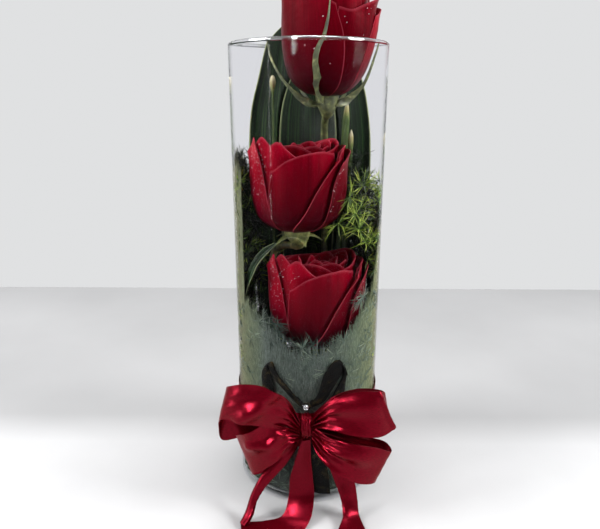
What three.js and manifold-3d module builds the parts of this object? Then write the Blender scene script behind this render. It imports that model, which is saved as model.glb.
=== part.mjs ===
// Three red roses, leaves and needle fern in a tall glass cylinder vase tied with a satin ribbon.
// Millimetres, +Z up. The origin is the centre of the vase's underside, and the front faces -Y.

import * as THREE from "three";
import { mergeVertices } from "three/addons/utils/BufferGeometryUtils.js";
import Module from "manifold-3d";

const wasm = await Module();
wasm.setup();

// ---------------------------------------------------------------- driving dimensions

const VASE_RADIUS = 50;
const VASE_HEIGHT = 300;
const GLASS_WALL = 3;
const GLASS_FLOOR = 6;
const ROUND_SIDES = 48;
const GAP = 0.3; // clearance between pieces that touch

const WATER_LEVEL = 56;
const STEM_FOOT = GLASS_FLOOR + GAP; // height at which every stalk stands on the glass
const INNER_RADIUS = VASE_RADIUS - GLASS_WALL;

const ROSE_STEM_RADIUS = 2.4;
const PETAL_THICKNESS = 0.7;
const LEAF_THICKNESS = 0.8;
const LEAF_STALK_RADIUS = 1.8;
const FERN_STALK_RADIUS = 1.1;
const NEEDLE_LENGTH = 10;
const NEEDLE_RADIUS = 0.55;

const RIBBON_WIDTH = 25;
const RIBBON_THICKNESS = 0.8;
const BAND_HEIGHT = 47; // lower edge of the ribbon band round the vase

// The bloom's receptacle, its radius across and towards the glass, its height and its lean forward in degrees.
const ROSES = {
  rose_bottom: { base: [5, -13.5, 105], across: 32, deep: 27, height: 66, lean: 3, turn: 0 },
  rose_middle: { base: [-7, -12.5, 186], across: 30.5, deep: 26, height: 65, lean: 4, turn: 8 },
  rose_top: { base: [11, -3, 271.5], across: 28.5, deep: 27, height: 65, lean: 5, turn: 150 },
};

// Petal rings from the heart outwards: petals in the ring, its radius and height as shares of the bloom's,
// each petal's half width in degrees, how far its lip turns out, and the faces along and across it.
const PETAL_RINGS = [
  { count: 3, reach: 0.3, rise: 0.93, halfWidth: 70, lip: 0.0, along: 4, across: 3 },
  { count: 4, reach: 0.5, rise: 1.0, halfWidth: 56, lip: 0.02, along: 4, across: 3 },
  { count: 5, reach: 0.72, rise: 0.98, halfWidth: 48, lip: 0.04, along: 4, across: 4 },
  { count: 5, reach: 0.94, rise: 0.92, halfWidth: 46, lip: 0.05, along: 5, across: 4 },
];

const COLOURS = {
  glass: "#dfe9ea",
  water: "#cfdcda",
  petal: "#a50f22",
  calyx: "#76803f",
  leaf: "#22382a",
  paleStalk: "#b9b98c",
  fern: "#4f7a3a",
  satin: "#8e0a22",
  net: "#1c1a12",
  pin: "#c8c8cc",
};

// ---------------------------------------------------------------- general helpers

const degrees = THREE.MathUtils.degToRad;
const vector = ([x, y, z]) => new THREE.Vector3(x, y, z);
const smooth = (points) => new THREE.CatmullRomCurve3(points.map(vector), false, "centripetal");

// Repeatable random numbers from 0 to 1.
function dice(seed) {
  let state = seed;
  return () => {
    state = (state + 0x6d2b79f5) | 0;
    let mixed = Math.imul(state ^ (state >>> 15), 1 | state);
    mixed = (mixed + Math.imul(mixed ^ (mixed >>> 7), 61 | mixed)) ^ mixed;
    return ((mixed ^ (mixed >>> 14)) >>> 0) / 4294967296;
  };
}

function solidOf(geometry) {
  const bare = geometry.clone();
  bare.deleteAttribute("normal");
  bare.deleteAttribute("uv");
  const merged = mergeVertices(bare, 1e-4);
  return new wasm.Manifold(
    new wasm.Mesh({
      numProp: 3,
      vertProperties: merged.attributes.position.array,
      triVerts: new Uint32Array(merged.index.array),
    }),
  );
}

function geometryOf(points, triangles) {
  const geometry = new THREE.BufferGeometry();
  geometry.setAttribute("position", new THREE.Float32BufferAttribute(points.flatMap((p) => p.toArray()), 3));
  geometry.setIndex(triangles);
  return geometry;
}

// Joins solids into one body. Hollows sealed by the joining are filled and loose scraps are dropped.
function fuse(solids) {
  const joined = solids.reduce((all, next) => all.add(next));
  return joined.decompose().reduce((best, next) => (next.volume() > best.volume() ? next : best));
}

function meshOf(name, solid, colour, roughness) {
  const { vertProperties, triVerts } = solid.getMesh();
  const geometry = new THREE.BufferGeometry();
  geometry.setAttribute("position", new THREE.BufferAttribute(vertProperties, 3));
  geometry.setIndex(new THREE.BufferAttribute(triVerts, 1));
  geometry.computeVertexNormals();
  const material = new THREE.MeshStandardMaterial({ color: colour, roughness, metalness: 0 });
  const mesh = new THREE.Mesh(geometry, material);
  mesh.name = name;
  return mesh;
}

// A thin sheet about the middle surface at(u, v), u and v from 0 to 1, split alike on both faces.
function sheet(at, alongSteps, acrossSteps, thickness) {
  const middle = [];
  for (let i = 0; i <= alongSteps; i++) {
    middle.push([]);
    for (let j = 0; j <= acrossSteps; j++) middle[i].push(at(i / alongSteps, j / acrossSteps));
  }
  const point = (i, j) =>
    middle[THREE.MathUtils.clamp(i, 0, alongSteps)][THREE.MathUtils.clamp(j, 0, acrossSteps)];
  const columns = acrossSteps + 1;
  const lower = (alongSteps + 1) * columns;
  const front = [];
  const back = [];
  for (let i = 0; i <= alongSteps; i++) {
    for (let j = 0; j <= acrossSteps; j++) {
      const along = point(i + 1, j).clone().sub(point(i - 1, j));
      const across = point(i, j + 1).clone().sub(point(i, j - 1));
      const offset = along.cross(across).setLength(thickness / 2);
      front.push(point(i, j).clone().add(offset));
      back.push(point(i, j).clone().sub(offset));
    }
  }
  const triangles = [];
  const rim = [];
  for (let i = 0; i < alongSteps; i++) {
    for (let j = 0; j < acrossSteps; j++) {
      const a = i * columns + j;
      const [b, c, d] = [a + columns, a + columns + 1, a + 1];
      triangles.push(a, b, c, a, c, d);
      triangles.push(lower + a, lower + c, lower + b, lower + a, lower + d, lower + c);
      if (j === 0) rim.push([a, b]);
      if (i === alongSteps - 1) rim.push([b, c]);
      if (j === acrossSteps - 1) rim.push([c, d]);
      if (i === 0) rim.push([d, a]);
    }
  }
  for (const [p, q] of rim) triangles.push(q, p, lower + p, q, lower + p, lower + q);
  return solidOf(geometryOf([...front, ...back], triangles));
}

// A round stalk along a curve, its radius given at each share of its length, closed at both ends.
function stalk(curve, steps, sides, radiusAt) {
  const frames = curve.computeFrenetFrames(steps, false);
  const points = [];
  const triangles = [];
  for (let i = 0; i <= steps; i++) {
    const centre = curve.getPointAt(i / steps);
    for (let k = 0; k < sides; k++) {
      const angle = (2 * Math.PI * k) / sides;
      const outwards = frames.normals[i].clone().multiplyScalar(Math.cos(angle));
      outwards.addScaledVector(frames.binormals[i], Math.sin(angle));
      points.push(centre.clone().addScaledVector(outwards, radiusAt(i / steps)));
    }
  }
  for (let i = 0; i < steps; i++) {
    for (let k = 0; k < sides; k++) {
      const a = i * sides + k;
      const b = i * sides + ((k + 1) % sides);
      triangles.push(a, b, b + sides, a, b + sides, a + sides);
    }
  }
  const last = steps * sides;
  for (let k = 1; k < sides - 1; k++) {
    triangles.push(0, k + 1, k);
    triangles.push(last, last + k, last + k + 1);
  }
  return solidOf(geometryOf(points, triangles));
}

// A body of revolution about +Z from a profile of [radius, height] points that starts and ends on the axis
// or closes on itself.
function turned(profile, sides) {
  const points = profile.map(([radius, height]) => new THREE.Vector2(radius, height));
  return solidOf(new THREE.LatheGeometry(points, sides).rotateX(Math.PI / 2));
}

// ---------------------------------------------------------------- vase and water

function vase() {
  const outer = VASE_RADIUS;
  const inner = INNER_RADIUS;
  return turned(
    [
      [0, 0],
      [outer - 1.5, 0],
      [outer, 1.5],
      [outer, VASE_HEIGHT - 1],
      [outer - 1, VASE_HEIGHT],
      [inner + 1, VASE_HEIGHT],
      [inner, VASE_HEIGHT - 1],
      [inner, GLASS_FLOOR + 3],
      [inner - 3, GLASS_FLOOR],
      [0, GLASS_FLOOR],
    ],
    ROUND_SIDES,
  );
}

// Water with a plain hole round each stalk that stands in it.
function water(stalks) {
  const inner = INNER_RADIUS - GAP;
  const bottom = GLASS_FLOOR + GAP;
  const filled = turned(
    [
      [0, bottom],
      [inner - 3, bottom],
      [inner, bottom + 3],
      [inner, WATER_LEVEL],
      [0, WATER_LEVEL],
    ],
    ROUND_SIDES,
  );
  return stalks.reduce((body, { foot, radius, sides }) => {
    const reach = (radius + GAP) / Math.cos(Math.PI / sides);
    const hole = new THREE.CylinderGeometry(reach, reach, 2 * WATER_LEVEL, sides);
    hole.rotateX(Math.PI / 2).translate(foot[0], foot[1], WATER_LEVEL);
    return body.subtract(solidOf(hole));
  }, filled);
}

// Every stalk rises straight through the water on its foot, and its hole is cut there.
const standing = [];
function stand(foot, radius, sides) {
  standing.push({ foot, radius, sides });
  return [
    [foot[0], foot[1], STEM_FOOT],
    [foot[0], foot[1], WATER_LEVEL / 2],
    [foot[0], foot[1], WATER_LEVEL + 1],
    [foot[0], foot[1], WATER_LEVEL + 8],
  ];
}

// ---------------------------------------------------------------- roses

// Moves a shape from a bloom's own upright frame to its place.
function bloomPlace({ base, across, deep, lean, turn }) {
  return new THREE.Matrix4()
    .makeTranslation(...base)
    .multiply(new THREE.Matrix4().makeRotationX(degrees(lean)))
    .multiply(new THREE.Matrix4().makeScale(1, deep / across, 1))
    .multiply(new THREE.Matrix4().makeRotationZ(degrees(turn)));
}

// The rise of a petal from its claw, round its belly and up to its lip, as shares of radius and height.
function petalRise(lip) {
  const knots = [
    [0.08, 0.03],
    [0.5, 0.05],
    [0.84, 0.18],
    [0.97, 0.38],
    [1.0, 0.62],
    [0.98, 0.84],
    [0.97 + lip, 0.97],
    [1.0 + 2 * lip, 1.0 - lip],
  ];
  return new THREE.SplineCurve(knots.map(([radius, height]) => new THREE.Vector2(radius, height)));
}

// One petal: it wraps round the axis, one edge inside its neighbour and the other outside.
function petal(ring, azimuth, bloom, place) {
  const rise = petalRise(ring.lip);
  const at = (u, v) => {
    const side = 2 * v - 1;
    const height = u * (1 - 0.14 * Math.abs(side) ** 3) * (1 - 0.03 * (1 - (1 - Math.abs(side)) ** 4));
    const { x: radial, y: vertical } = rise.getPoint(height);
    const spiral = 1 + 0.07 * side;
    const width = degrees(ring.halfWidth) * Math.min(1, 0.3 + 1.6 * u);
    const angle = azimuth + side * width;
    const radius = bloom.across * ring.reach * radial * spiral;
    return new THREE.Vector3(
      radius * Math.cos(angle),
      radius * Math.sin(angle),
      bloom.height * ring.rise * vertical,
    ).applyMatrix4(place);
  };
  return sheet(at, ring.along, ring.across, PETAL_THICKNESS);
}

function roseBloom(bloom) {
  const place = bloomPlace(bloom);
  const core = new THREE.SphereGeometry(1, 7, 5).rotateX(Math.PI / 2);
  core.scale(bloom.across * 0.25, bloom.across * 0.25, bloom.height * 0.17);
  core.translate(0, 0, bloom.height * 0.17).applyMatrix4(place);
  const pieces = [solidOf(core)];
  PETAL_RINGS.forEach((ring, layer) => {
    for (let k = 0; k < ring.count; k++) {
      const azimuth = degrees(-90 + 40 * layer + (360 * k) / ring.count);
      pieces.push(petal(ring, azimuth, bloom, place));
    }
  });
  return fuse(pieces);
}

// A sepal along a curve, widest near its foot and drawn out to a point.
function sepal(points, width, facing) {
  const curve = smooth(points);
  const towards = vector(facing).normalize();
  const at = (u, v) => {
    const across = curve.getTangentAt(u).cross(towards).normalize();
    const halfWidth = (width / 2) * (0.55 + 0.45 * Math.sin(Math.PI * Math.min(1, 2.2 * u))) * (1 - u) + 0.4;
    return curve.getPointAt(u).addScaledVector(across, halfWidth * (2 * v - 1));
  };
  return sheet(at, points.length, 2, LEAF_THICKNESS);
}

// Stem, urn-shaped calyx and sepals of one rose.
function roseStem(bloom, foot, bends, sepals) {
  const [x, y, z] = bloom.base;
  const top = z - GAP;
  const path = smooth([...stand(foot, ROSE_STEM_RADIUS, 7), ...bends, [x, y, top - 9], [x, y, top]]);
  const length = path.getLength();
  const urn = (u) => {
    const below = (1 - u) * length;
    return ROSE_STEM_RADIUS + (below < 12 ? 2.6 * Math.sin((Math.PI / 2) * (1 - below / 12)) : 0);
  };
  const pieces = [stalk(path, 18, 7, urn)];
  for (const { points, width, facing } of sepals) pieces.push(sepal(points, width, facing));
  return fuse(pieces);
}

// Sepals that hang outwards below a bloom, spread evenly round the calyx.
function hangingSepals([x, y, z], drop, count, start) {
  return Array.from({ length: count }, (_, k) => {
    const angle = degrees(start + (360 * k) / count);
    const out = (distance, height) => [
      x + distance * Math.cos(angle),
      y + distance * Math.sin(angle),
      z + height,
    ];
    return {
      points: [out(1, -4), out(6, -3.5), out(11, -5), out(16, -drop)],
      width: 7,
      facing: [0, 0, 1],
    };
  });
}

// ---------------------------------------------------------------- leaves

// A blade that lies along the inside of the glass: heights with the angles of its two edges.
function wallBlade(radius, outline) {
  const edges = new THREE.CatmullRomCurve3(outline.map(vector), false, "centripetal");
  const at = (u, v) => {
    const { x: right, y: left, z: height } = edges.getPoint(u);
    const angle = degrees(right + (left - right) * v);
    return new THREE.Vector3(radius * Math.cos(angle), radius * Math.sin(angle), height);
  };
  return sheet(at, 10, 4, LEAF_THICKNESS);
}

// A long leaf on its own stalk.
function longLeaf(foot, radius, outline) {
  const [right, left, height] = outline[0];
  const middle = degrees((right + left) / 2);
  const blade = wallBlade(radius, outline);
  const inside = radius - 1.2;
  const joint = [inside * Math.cos(middle), inside * Math.sin(middle), height + 12];
  const path = smooth([...stand(foot, LEAF_STALK_RADIUS, 6), joint]);
  return fuse([blade, stalk(path, 8, 5, () => LEAF_STALK_RADIUS)]);
}

// ---------------------------------------------------------------- needle fern

const FERNS = {
  fern_left_tall: { points: [[-38, 12], [-41, 3, 120], [-41, -1, 180], [-42, 0, 232]], from: 64, seed: 3 },
  fern_left_front: { points: [[-27, -25], [-31, -26, 80], [-34, -26, 125]], from: 62, seed: 5 },
  fern_front_left: { points: [[-9, -33], [-11, -34, 75], [-12, -35, 92]], from: 62, seed: 7 },
  fern_front_right: { points: [[10, -33], [12, -34, 75], [15, -35, 92]], from: 62, seed: 9 },
  fern_right_front: { points: [[28, -25], [33, -26, 85], [37, -22, 130]], from: 62, seed: 11 },
  fern_right_tall: { points: [[36, 2], [41, 0, 110], [39, -2, 165], [36, 0, 212]], from: 64, seed: 13 },
  fern_right_back: { points: [[32, 19], [34, 15, 110], [34, 12, 170], [33, 13, 222]], from: 64, seed: 15 },
  fern_back: { points: [[-3, 28], [-4, 29, 110], [-5, 28, 190], [-6, 26, 240]], from: 150, seed: 17 },
};
const WHORL_SPACING = 11;
const NEEDLES_IN_WHORL = 5;
const FERN_ROOM = 1.8; // how much nearer a needle stays to its own stalk than to any other fern's
const BACK_REACH = 40; // radius behind which the long leaves line the glass

const fernPaths = Object.fromEntries(
  Object.entries(FERNS).map(([name, { points }]) => {
    const [foot, ...rest] = points;
    return [name, smooth([...stand(foot, FERN_STALK_RADIUS, 5), ...rest])];
  }),
);

const sampled = (curve, count) => curve.getSpacedPoints(count);
const distanceTo = (points, p) => Math.min(...points.map((q) => q.distanceTo(p)));
const fernSamples = Object.fromEntries(
  Object.entries(fernPaths).map(([name, path]) => [name, sampled(path, 60)]),
);

// True inside an egg that holds the whole bloom with a little room round it.
function insideBloom({ base, across, deep, height }, p) {
  const reach = [across * 1.12 + 1.5, deep * 1.12 + 2.5, height * 0.62];
  const centre = [base[0], base[1] - 3, base[2] + height / 2];
  return Math.hypot(...p.toArray().map((value, i) => (value - centre[i]) / reach[i])) < 1;
}

// True where a needle may be: inside the glass, clear of blooms, stems and leaves, and on its own fern's side.
function freeFor(name, p, keepOut) {
  const radius = Math.hypot(p.x, p.y);
  if (radius > INNER_RADIUS - 1 || p.z < WATER_LEVEL + 1.5) return false;
  if (p.y > 0 && radius > BACK_REACH) return false;
  if (Object.values(ROSES).some((bloom) => insideBloom(bloom, p))) return false;
  if (keepOut.some(({ points, clear }) => distanceTo(points, p) < clear)) return false;
  const own = distanceTo(fernSamples[name], p);
  return Object.entries(fernSamples).every(
    ([other, points]) => other === name || distanceTo(points, p) > own + FERN_ROOM,
  );
}

// One spray: whorls of needles along a stalk, out to its tip.
function fern(name, keepOut) {
  const { from, seed } = FERNS[name];
  const path = fernPaths[name];
  const random = dice(seed);
  const length = path.getLength();
  const pieces = [stalk(path, 12, 4, (u) => FERN_STALK_RADIUS * (1 - 0.45 * u))];
  const first = from / length;
  const whorls = Math.floor((1 - first) * (length / WHORL_SPACING));
  for (let w = 0; w <= whorls; w++) {
    const u = Math.min(0.995, first + ((1 - first) * w) / whorls);
    const root = path.getPointAt(u);
    const axis = path.getTangentAt(u);
    const side = new THREE.Vector3(1, 0, 0).cross(axis).normalize();
    for (let k = 0; k < NEEDLES_IN_WHORL; k++) {
      const turnAngle = (2 * Math.PI * (k + random() * 0.5)) / NEEDLES_IN_WHORL + w;
      const out = side.clone().applyAxisAngle(axis, turnAngle);
      const direction = out.addScaledVector(axis, 0.35 + 0.5 * random()).normalize();
      const reach = NEEDLE_LENGTH * (0.8 + 0.4 * random());
      const tests = [0.3, 0.55, 0.8, 1.05].map((share) => root.clone().addScaledVector(direction, reach * share));
      if (!tests.every((p) => freeFor(name, p, keepOut))) continue;
      const needle = new THREE.ConeGeometry(NEEDLE_RADIUS, reach, 3).translate(0, reach / 2, 0);
      needle.applyQuaternion(new THREE.Quaternion().setFromUnitVectors(new THREE.Vector3(0, 1, 0), direction));
      pieces.push(solidOf(needle.translate(root.x, root.y, root.z)));
    }
  }
  return fuse(pieces);
}

// ---------------------------------------------------------------- ribbons

// A ribbon from rows of its two edges, each row [edge point, other edge point].
function ribbon(rows, steps, thickness = RIBBON_THICKNESS) {
  const one = smooth(rows.map((row) => row[0]));
  const other = smooth(rows.map((row) => row[1]));
  return sheet((u, v) => one.getPoint(u).lerp(other.getPoint(u), v), steps, 2, thickness);
}

function band() {
  const inner = VASE_RADIUS + GAP;
  const outer = inner + RIBBON_THICKNESS;
  const top = BAND_HEIGHT + RIBBON_WIDTH;
  return turned(
    [
      [inner, BAND_HEIGHT],
      [outer, BAND_HEIGHT],
      [outer, top],
      [inner, top],
      [inner, BAND_HEIGHT],
    ],
    ROUND_SIDES,
  );
}

const KNOT_CENTRE = [-0.5, -58.1, 68];
const NET_KNOT_CENTRE = [-0.5, -52.3, 78.6];

// An egg-shaped lump of gathered ribbon.
function lump(centre, halfSizes, sides, rings) {
  const shape = new THREE.SphereGeometry(1, sides, rings).rotateX(Math.PI / 2);
  return solidOf(shape.scale(...halfSizes).translate(...centre));
}

// Rows of the bow's loops, from the knot out over the front ply, round the fold and back behind it.
const LOOPS = {
  bow_loop_upper_left: [
    [[-4.5, -62, 74], [-5.8, -61, 66]],
    [[-12, -66, 88], [-12, -65, 70]],
    [[-28, -70, 97], [-26, -70, 73]],
    [[-43, -69, 100], [-44, -71, 76]],
    [[-50, -64, 99], [-56, -66, 73]],
    [[-49, -57, 95], [-56, -58, 66]],
    [[-40, -54.5, 90], [-46, -54.5, 62]],
    [[-22, -54, 84], [-24, -54, 62]],
    [[-5.4, -56, 74], [-6.2, -56.5, 66]],
  ],
  bow_loop_lower_left: [
    [[-5.6, -61, 64.5], [-4.3, -60.8, 59.5]],
    [[-14, -68, 64], [-9, -66, 53]],
    [[-28, -72, 60], [-17, -71, 45]],
    [[-42, -69, 55], [-28, -70, 38]],
    [[-48, -63, 54], [-34, -63, 36]],
    [[-45, -58, 54], [-34, -58, 35]],
    [[-30, -56.8, 57], [-24, -56.8, 42]],
    [[-6.2, -57, 63], [-4.8, -57, 58.5]],
  ],
  bow_loop_upper_right: [
    [[3.6, -61.5, 75], [4.5, -60.5, 69]],
    [[13, -65, 89], [14, -67, 72]],
    [[28, -67, 97], [28, -71, 70]],
    [[43, -66, 98], [46, -70, 68]],
    [[50, -61, 94], [55, -64, 70]],
    [[47, -56, 93], [52, -57, 71]],
    [[32, -54.5, 93], [34, -54.5, 72]],
    [[17, -54, 87], [18, -54, 72]],
    [[4.3, -56, 75], [5, -56, 70]],
  ],
  bow_loop_lower_right: [
    [[4.9, -61, 67], [3.6, -60.8, 60]],
    [[14, -66, 64], [8, -68, 52]],
    [[28, -69, 62], [18, -72, 43]],
    [[44, -67, 58], [34, -70, 33]],
    [[55, -62, 52], [45, -64, 30]],
    [[52, -57, 55], [42, -58, 34]],
    [[34, -56.5, 60], [27, -56.8, 42]],
    [[5.2, -57, 67], [4.2, -57, 60.5]],
  ],
};

// Rows of the tails, from behind the knot down to the surface that the vase stands on.
const TAILS = {
  bow_tail_left: [
    [[-5.5, -52.9, 61.5], [-1.5, -53, 59]],
    [[-12, -53.8, 53], [-6, -54.2, 48]],
    [[-20, -56.5, 42], [-14, -58.5, 37]],
    [[-31, -60, 30], [-25, -62.5, 26]],
    [[-37, -62, 18], [-34, -66, 14]],
    [[-41, -66, 6.5], [-37, -70.5, 7.5]],
    [[-44, -71, 2.4], [-41, -75, 3.4]],
  ],
  bow_tail_middle: [
    [[-3.4, -58, 56.4], [2.8, -58, 56.4]],
    [[-8, -58, 41], [3.5, -57, 41]],
    [[-12, -58, 27], [5, -57.5, 27]],
    [[-13, -60, 14], [6, -60.5, 14]],
    [[-17, -66, 4.2], [3, -71, 4.2]],
    [[-28, -67, 1.4], [-10, -86, 1]],
    [[-44, -68, 1], [-40, -92, 1]],
  ],
  bow_tail_right: [
    [[1.2, -53, 60], [4.4, -52.9, 62]],
    [[6, -54, 52], [12, -54, 52]],
    [[12, -55.5, 41], [24, -55.5, 39]],
    [[17, -58, 28], [32, -58, 27]],
    [[22, -60, 14], [35, -61, 11]],
    [[24, -66, 6], [36, -64, 4]],
    [[19, -78, 1.4], [40, -76, 1.4]],
    [[17, -97, 1], [41, -101, 1]],
  ],
};

// Rows of the dark net ribbon: two upright loops that lean on the glass, and a short tail.
const NET = {
  net_loop_left: [
    [[-4.3, -52.6, 80], [-4.4, -52.4, 77]],
    [[-14, -50.4, 90], [-15.5, -50.2, 87]],
    [[-22, -48, 100], [-25, -47, 97]],
    [[-27.5, -46.4, 103], [-28.5, -45, 99]],
    [[-29.5, -45, 94], [-22.5, -48, 92]],
    [[-28.5, -46.5, 84], [-19, -49.8, 83]],
    [[-20, -50.4, 78], [-13, -51.6, 76]],
  ],
  net_loop_right: [
    [[3.3, -52.6, 80.5], [3.5, -52.4, 77]],
    [[11, -50.2, 93], [21, -49, 86]],
    [[16, -48.6, 104], [26, -46, 97]],
    [[20, -47, 108.5], [24.5, -45.8, 105]],
    [[24, -45.4, 103], [25.5, -45, 90]],
    [[17, -48.4, 88], [24, -47.6, 80]],
  ],
  net_tail: [
    [[-1, -51.9, 57.5], [4, -51.9, 57.5]],
    [[0, -52.3, 44], [9, -52.3, 44]],
    [[3, -52.6, 28], [15, -52.6, 28]],
    [[5, -52.8, 12], [17, -52.8, 10]],
  ],
};

// ---------------------------------------------------------------- the whole

const arrangement = new THREE.Group();
const add = (name, solid, colour, roughness) => arrangement.add(meshOf(name, solid, colour, roughness));

const roseStems = {
  rose_bottom: {
    foot: [3, -6],
    bends: [[3, -7, 80]],
    sepals: hangingSepals([5, -13.5, 105], 9, 5, 20),
  },
  rose_middle: {
    foot: [-15, 8],
    bends: [[-21, 10, 120], [-25.5, 9, 148], [-24, 5, 165], [-17, -5, 173.5]],
    sepals: hangingSepals([-7, -12.5, 186], 7, 5, -70),
  },
  rose_top: {
    foot: [9, 18],
    bends: [[12, 18, 120], [12, 17, 200], [11, 12, 238], [11, 4, 255]],
    sepals: [
      {
        points: [[11, -3, 267], [9, -16, 268], [6, -29, 283], [10.5, -35, 299], [12, -37, 309], [9.8, -38, 319]],
        width: 6,
        facing: [0, -1, 0.3],
      },
      {
        points: [[11, -3, 267], [20, -7, 266], [33, -11, 276], [40, -11, 293], [43, -9, 303]],
        width: 5,
        facing: [0.6, -0.7, 0.3],
      },
      {
        points: [[11, -3, 267], [1, -10, 266], [-13, -14, 277], [-22, -14, 291], [-25, -13, 303]],
        width: 5,
        facing: [-0.6, -0.7, 0.3],
      },
      { points: [[11, -3, 267], [18, 8, 265], [25, 17, 272], [28, 24, 284]], width: 6, facing: [0.5, 0.8, 0] },
      { points: [[11, -3, 267], [4, 8, 265], [-4, 17, 272], [-9, 24, 284]], width: 6, facing: [-0.5, 0.8, 0] },
    ],
  },
};

for (const [name, { foot, bends, sepals }] of Object.entries(roseStems)) {
  add(name + "_bloom", roseBloom(ROSES[name]), COLOURS.petal, 0.6);
  add(name + "_stem", roseStem(ROSES[name], foot, bends, sepals), COLOURS.calyx, 0.55);
}

// Outlines: angle of the right edge, angle of the left edge and height, from the stalk to the tip.
const LEAVES = {
  leaf_left: {
    foot: [-22, 34],
    radius: 45.3,
    outline: [[124, 126, 72], [112, 141, 110], [103, 152, 165], [101, 153, 215], [107, 150, 262], [118, 138, 298], [125, 127, 315]],
  },
  leaf_right: {
    foot: [24, 34],
    radius: 45.3,
    outline: [[54, 56, 72], [32, 70, 110], [18, 80, 160], [19, 80, 205], [27, 75, 245], [42, 63, 273], [50, 52, 288]],
  },
  leaf_back: {
    foot: [0, 38],
    radius: 42.6,
    outline: [[89, 91, 76], [76, 106, 120], [70, 112, 175], [74, 108, 225], [84, 99, 262], [90, 92, 283]],
  },
  rose_leaf: {
    foot: [-40, -12],
    radius: 45,
    outline: [[196, 200, 118], [190, 207, 132], [192, 213, 150], [200, 216, 166], [210, 214, 180]],
  },
};
for (const [name, { foot, radius, outline }] of Object.entries(LEAVES)) {
  add(name, longLeaf(foot, radius, outline), COLOURS.leaf, 0.4);
}

// Bare pale stalks cut to a point, beside the top rose's stem.
const PALE_STALKS = {
  pale_stalk_right: { foot: [19, 10], tip: [26.2, 16, 267] },
  pale_stalk_far_right: { foot: [24, 4], tip: [29.5, 16, 251] },
  pale_stalk_left: { foot: [-26, 20], tip: [-24, 22, 282.5] },
};
for (const [name, { foot, tip }] of Object.entries(PALE_STALKS)) {
  const middle = [(foot[0] + tip[0]) / 2, (foot[1] + tip[1]) / 2 + 2, 160];
  const path = smooth([...stand(foot, 1.4, 6), middle, tip]);
  PALE_STALKS[name].path = path;
  add(name, stalk(path, 9, 5, (u) => (u > 0.93 ? 1.4 - 14 * (u - 0.93) : 1.4)), COLOURS.paleStalk, 0.5);
}

const stemCurves = Object.entries(roseStems).map(([name, { foot, bends }]) => {
  const [x, y, z] = ROSES[name].base;
  return smooth([[...foot, STEM_FOOT], [...foot, WATER_LEVEL + 2], ...bends, [x, y, z - 10], [x, y, z]]);
});
const leafStalkCurves = Object.values(LEAVES).map(({ foot, radius, outline }) => {
  const middle = degrees((outline[0][0] + outline[0][1]) / 2);
  const joint = [radius * Math.cos(middle), radius * Math.sin(middle), outline[0][2]];
  return smooth([[...foot, STEM_FOOT], [...foot, WATER_LEVEL + 2], joint]);
});
const roseLeafBlade = smooth([[-42, -14, 118], [-41, -17, 135], [-40, -20, 155], [-38, -23, 181]]);
const keepOut = [
  ...stemCurves.map((curve) => ({ points: sampled(curve, 90), clear: 4 })),
  ...leafStalkCurves.map((curve) => ({ points: sampled(curve, 40), clear: 3.4 })),
  ...Object.values(PALE_STALKS).map(({ path }) => ({ points: sampled(path, 90), clear: 3 })),
  { points: sampled(roseLeafBlade, 24), clear: 12 },
];
for (const name of Object.keys(FERNS)) {
  add(name, fern(name, keepOut), COLOURS.fern, 0.6);
}

add("vase", vase(), COLOURS.glass, 0.05);
add("water", water(standing), COLOURS.water, 0.05);

add("ribbon_band", band(), COLOURS.satin, 0.35);
add("bow_knot", lump(KNOT_CENTRE, [5, 6.6, 11], 12, 8), COLOURS.satin, 0.35);
add("net_knot", lump(NET_KNOT_CENTRE, [3.4, 1.5, 3.2], 10, 6), COLOURS.net, 0.7);
for (const [name, rows] of Object.entries(LOOPS)) add(name, ribbon(rows, 12), COLOURS.satin, 0.35);
for (const [name, rows] of Object.entries(TAILS)) add(name, ribbon(rows, 10), COLOURS.satin, 0.35);
for (const [name, rows] of Object.entries(NET)) add(name, ribbon(rows, 9, 0.6), COLOURS.net, 0.7);
add("bow_pin", lump([-0.8, -56.4, 80.6], [1.9, 1.6, 1.7], 8, 6), COLOURS.pin, 0.3);

export default arrangement;
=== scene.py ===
"""Three red roses, long leaves and needle fern in a tall glass cylinder vase tied with a satin ribbon.

Lengths are in millimetres unless a name or comment says otherwise, +Z is up, and the front faces -Y.
"""

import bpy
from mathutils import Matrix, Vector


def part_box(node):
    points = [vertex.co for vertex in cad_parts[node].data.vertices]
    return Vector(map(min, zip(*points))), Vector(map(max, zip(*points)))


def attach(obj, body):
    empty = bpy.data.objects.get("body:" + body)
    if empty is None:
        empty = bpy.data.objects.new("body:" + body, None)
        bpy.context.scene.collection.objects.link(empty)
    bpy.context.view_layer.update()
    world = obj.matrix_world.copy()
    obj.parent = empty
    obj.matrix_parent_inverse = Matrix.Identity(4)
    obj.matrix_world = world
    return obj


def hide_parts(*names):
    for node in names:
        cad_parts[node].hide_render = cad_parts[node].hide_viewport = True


bl_info = {
    "name": "Roses in a glass vase",
    "version": (1, 0, 0),
    "blender": (4, 5, 0),
    "location": "View3D > Sidebar > Roses",
    "description": "Builds the roses, foliage, ribbons, water and glass round the packed model",
    "category": "Object",
}

import math
import random

import bmesh
import bpy
import numpy as np
from mathutils import Matrix, Vector

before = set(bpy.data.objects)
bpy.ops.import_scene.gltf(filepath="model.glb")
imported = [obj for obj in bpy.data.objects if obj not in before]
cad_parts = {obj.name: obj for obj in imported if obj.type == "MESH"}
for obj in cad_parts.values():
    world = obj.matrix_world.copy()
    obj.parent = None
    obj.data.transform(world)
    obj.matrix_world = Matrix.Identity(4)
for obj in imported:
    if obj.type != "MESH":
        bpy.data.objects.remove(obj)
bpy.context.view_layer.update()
MM = 0.001
BODY = "root"

# ---------------------------------------------------------------- sizes

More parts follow.
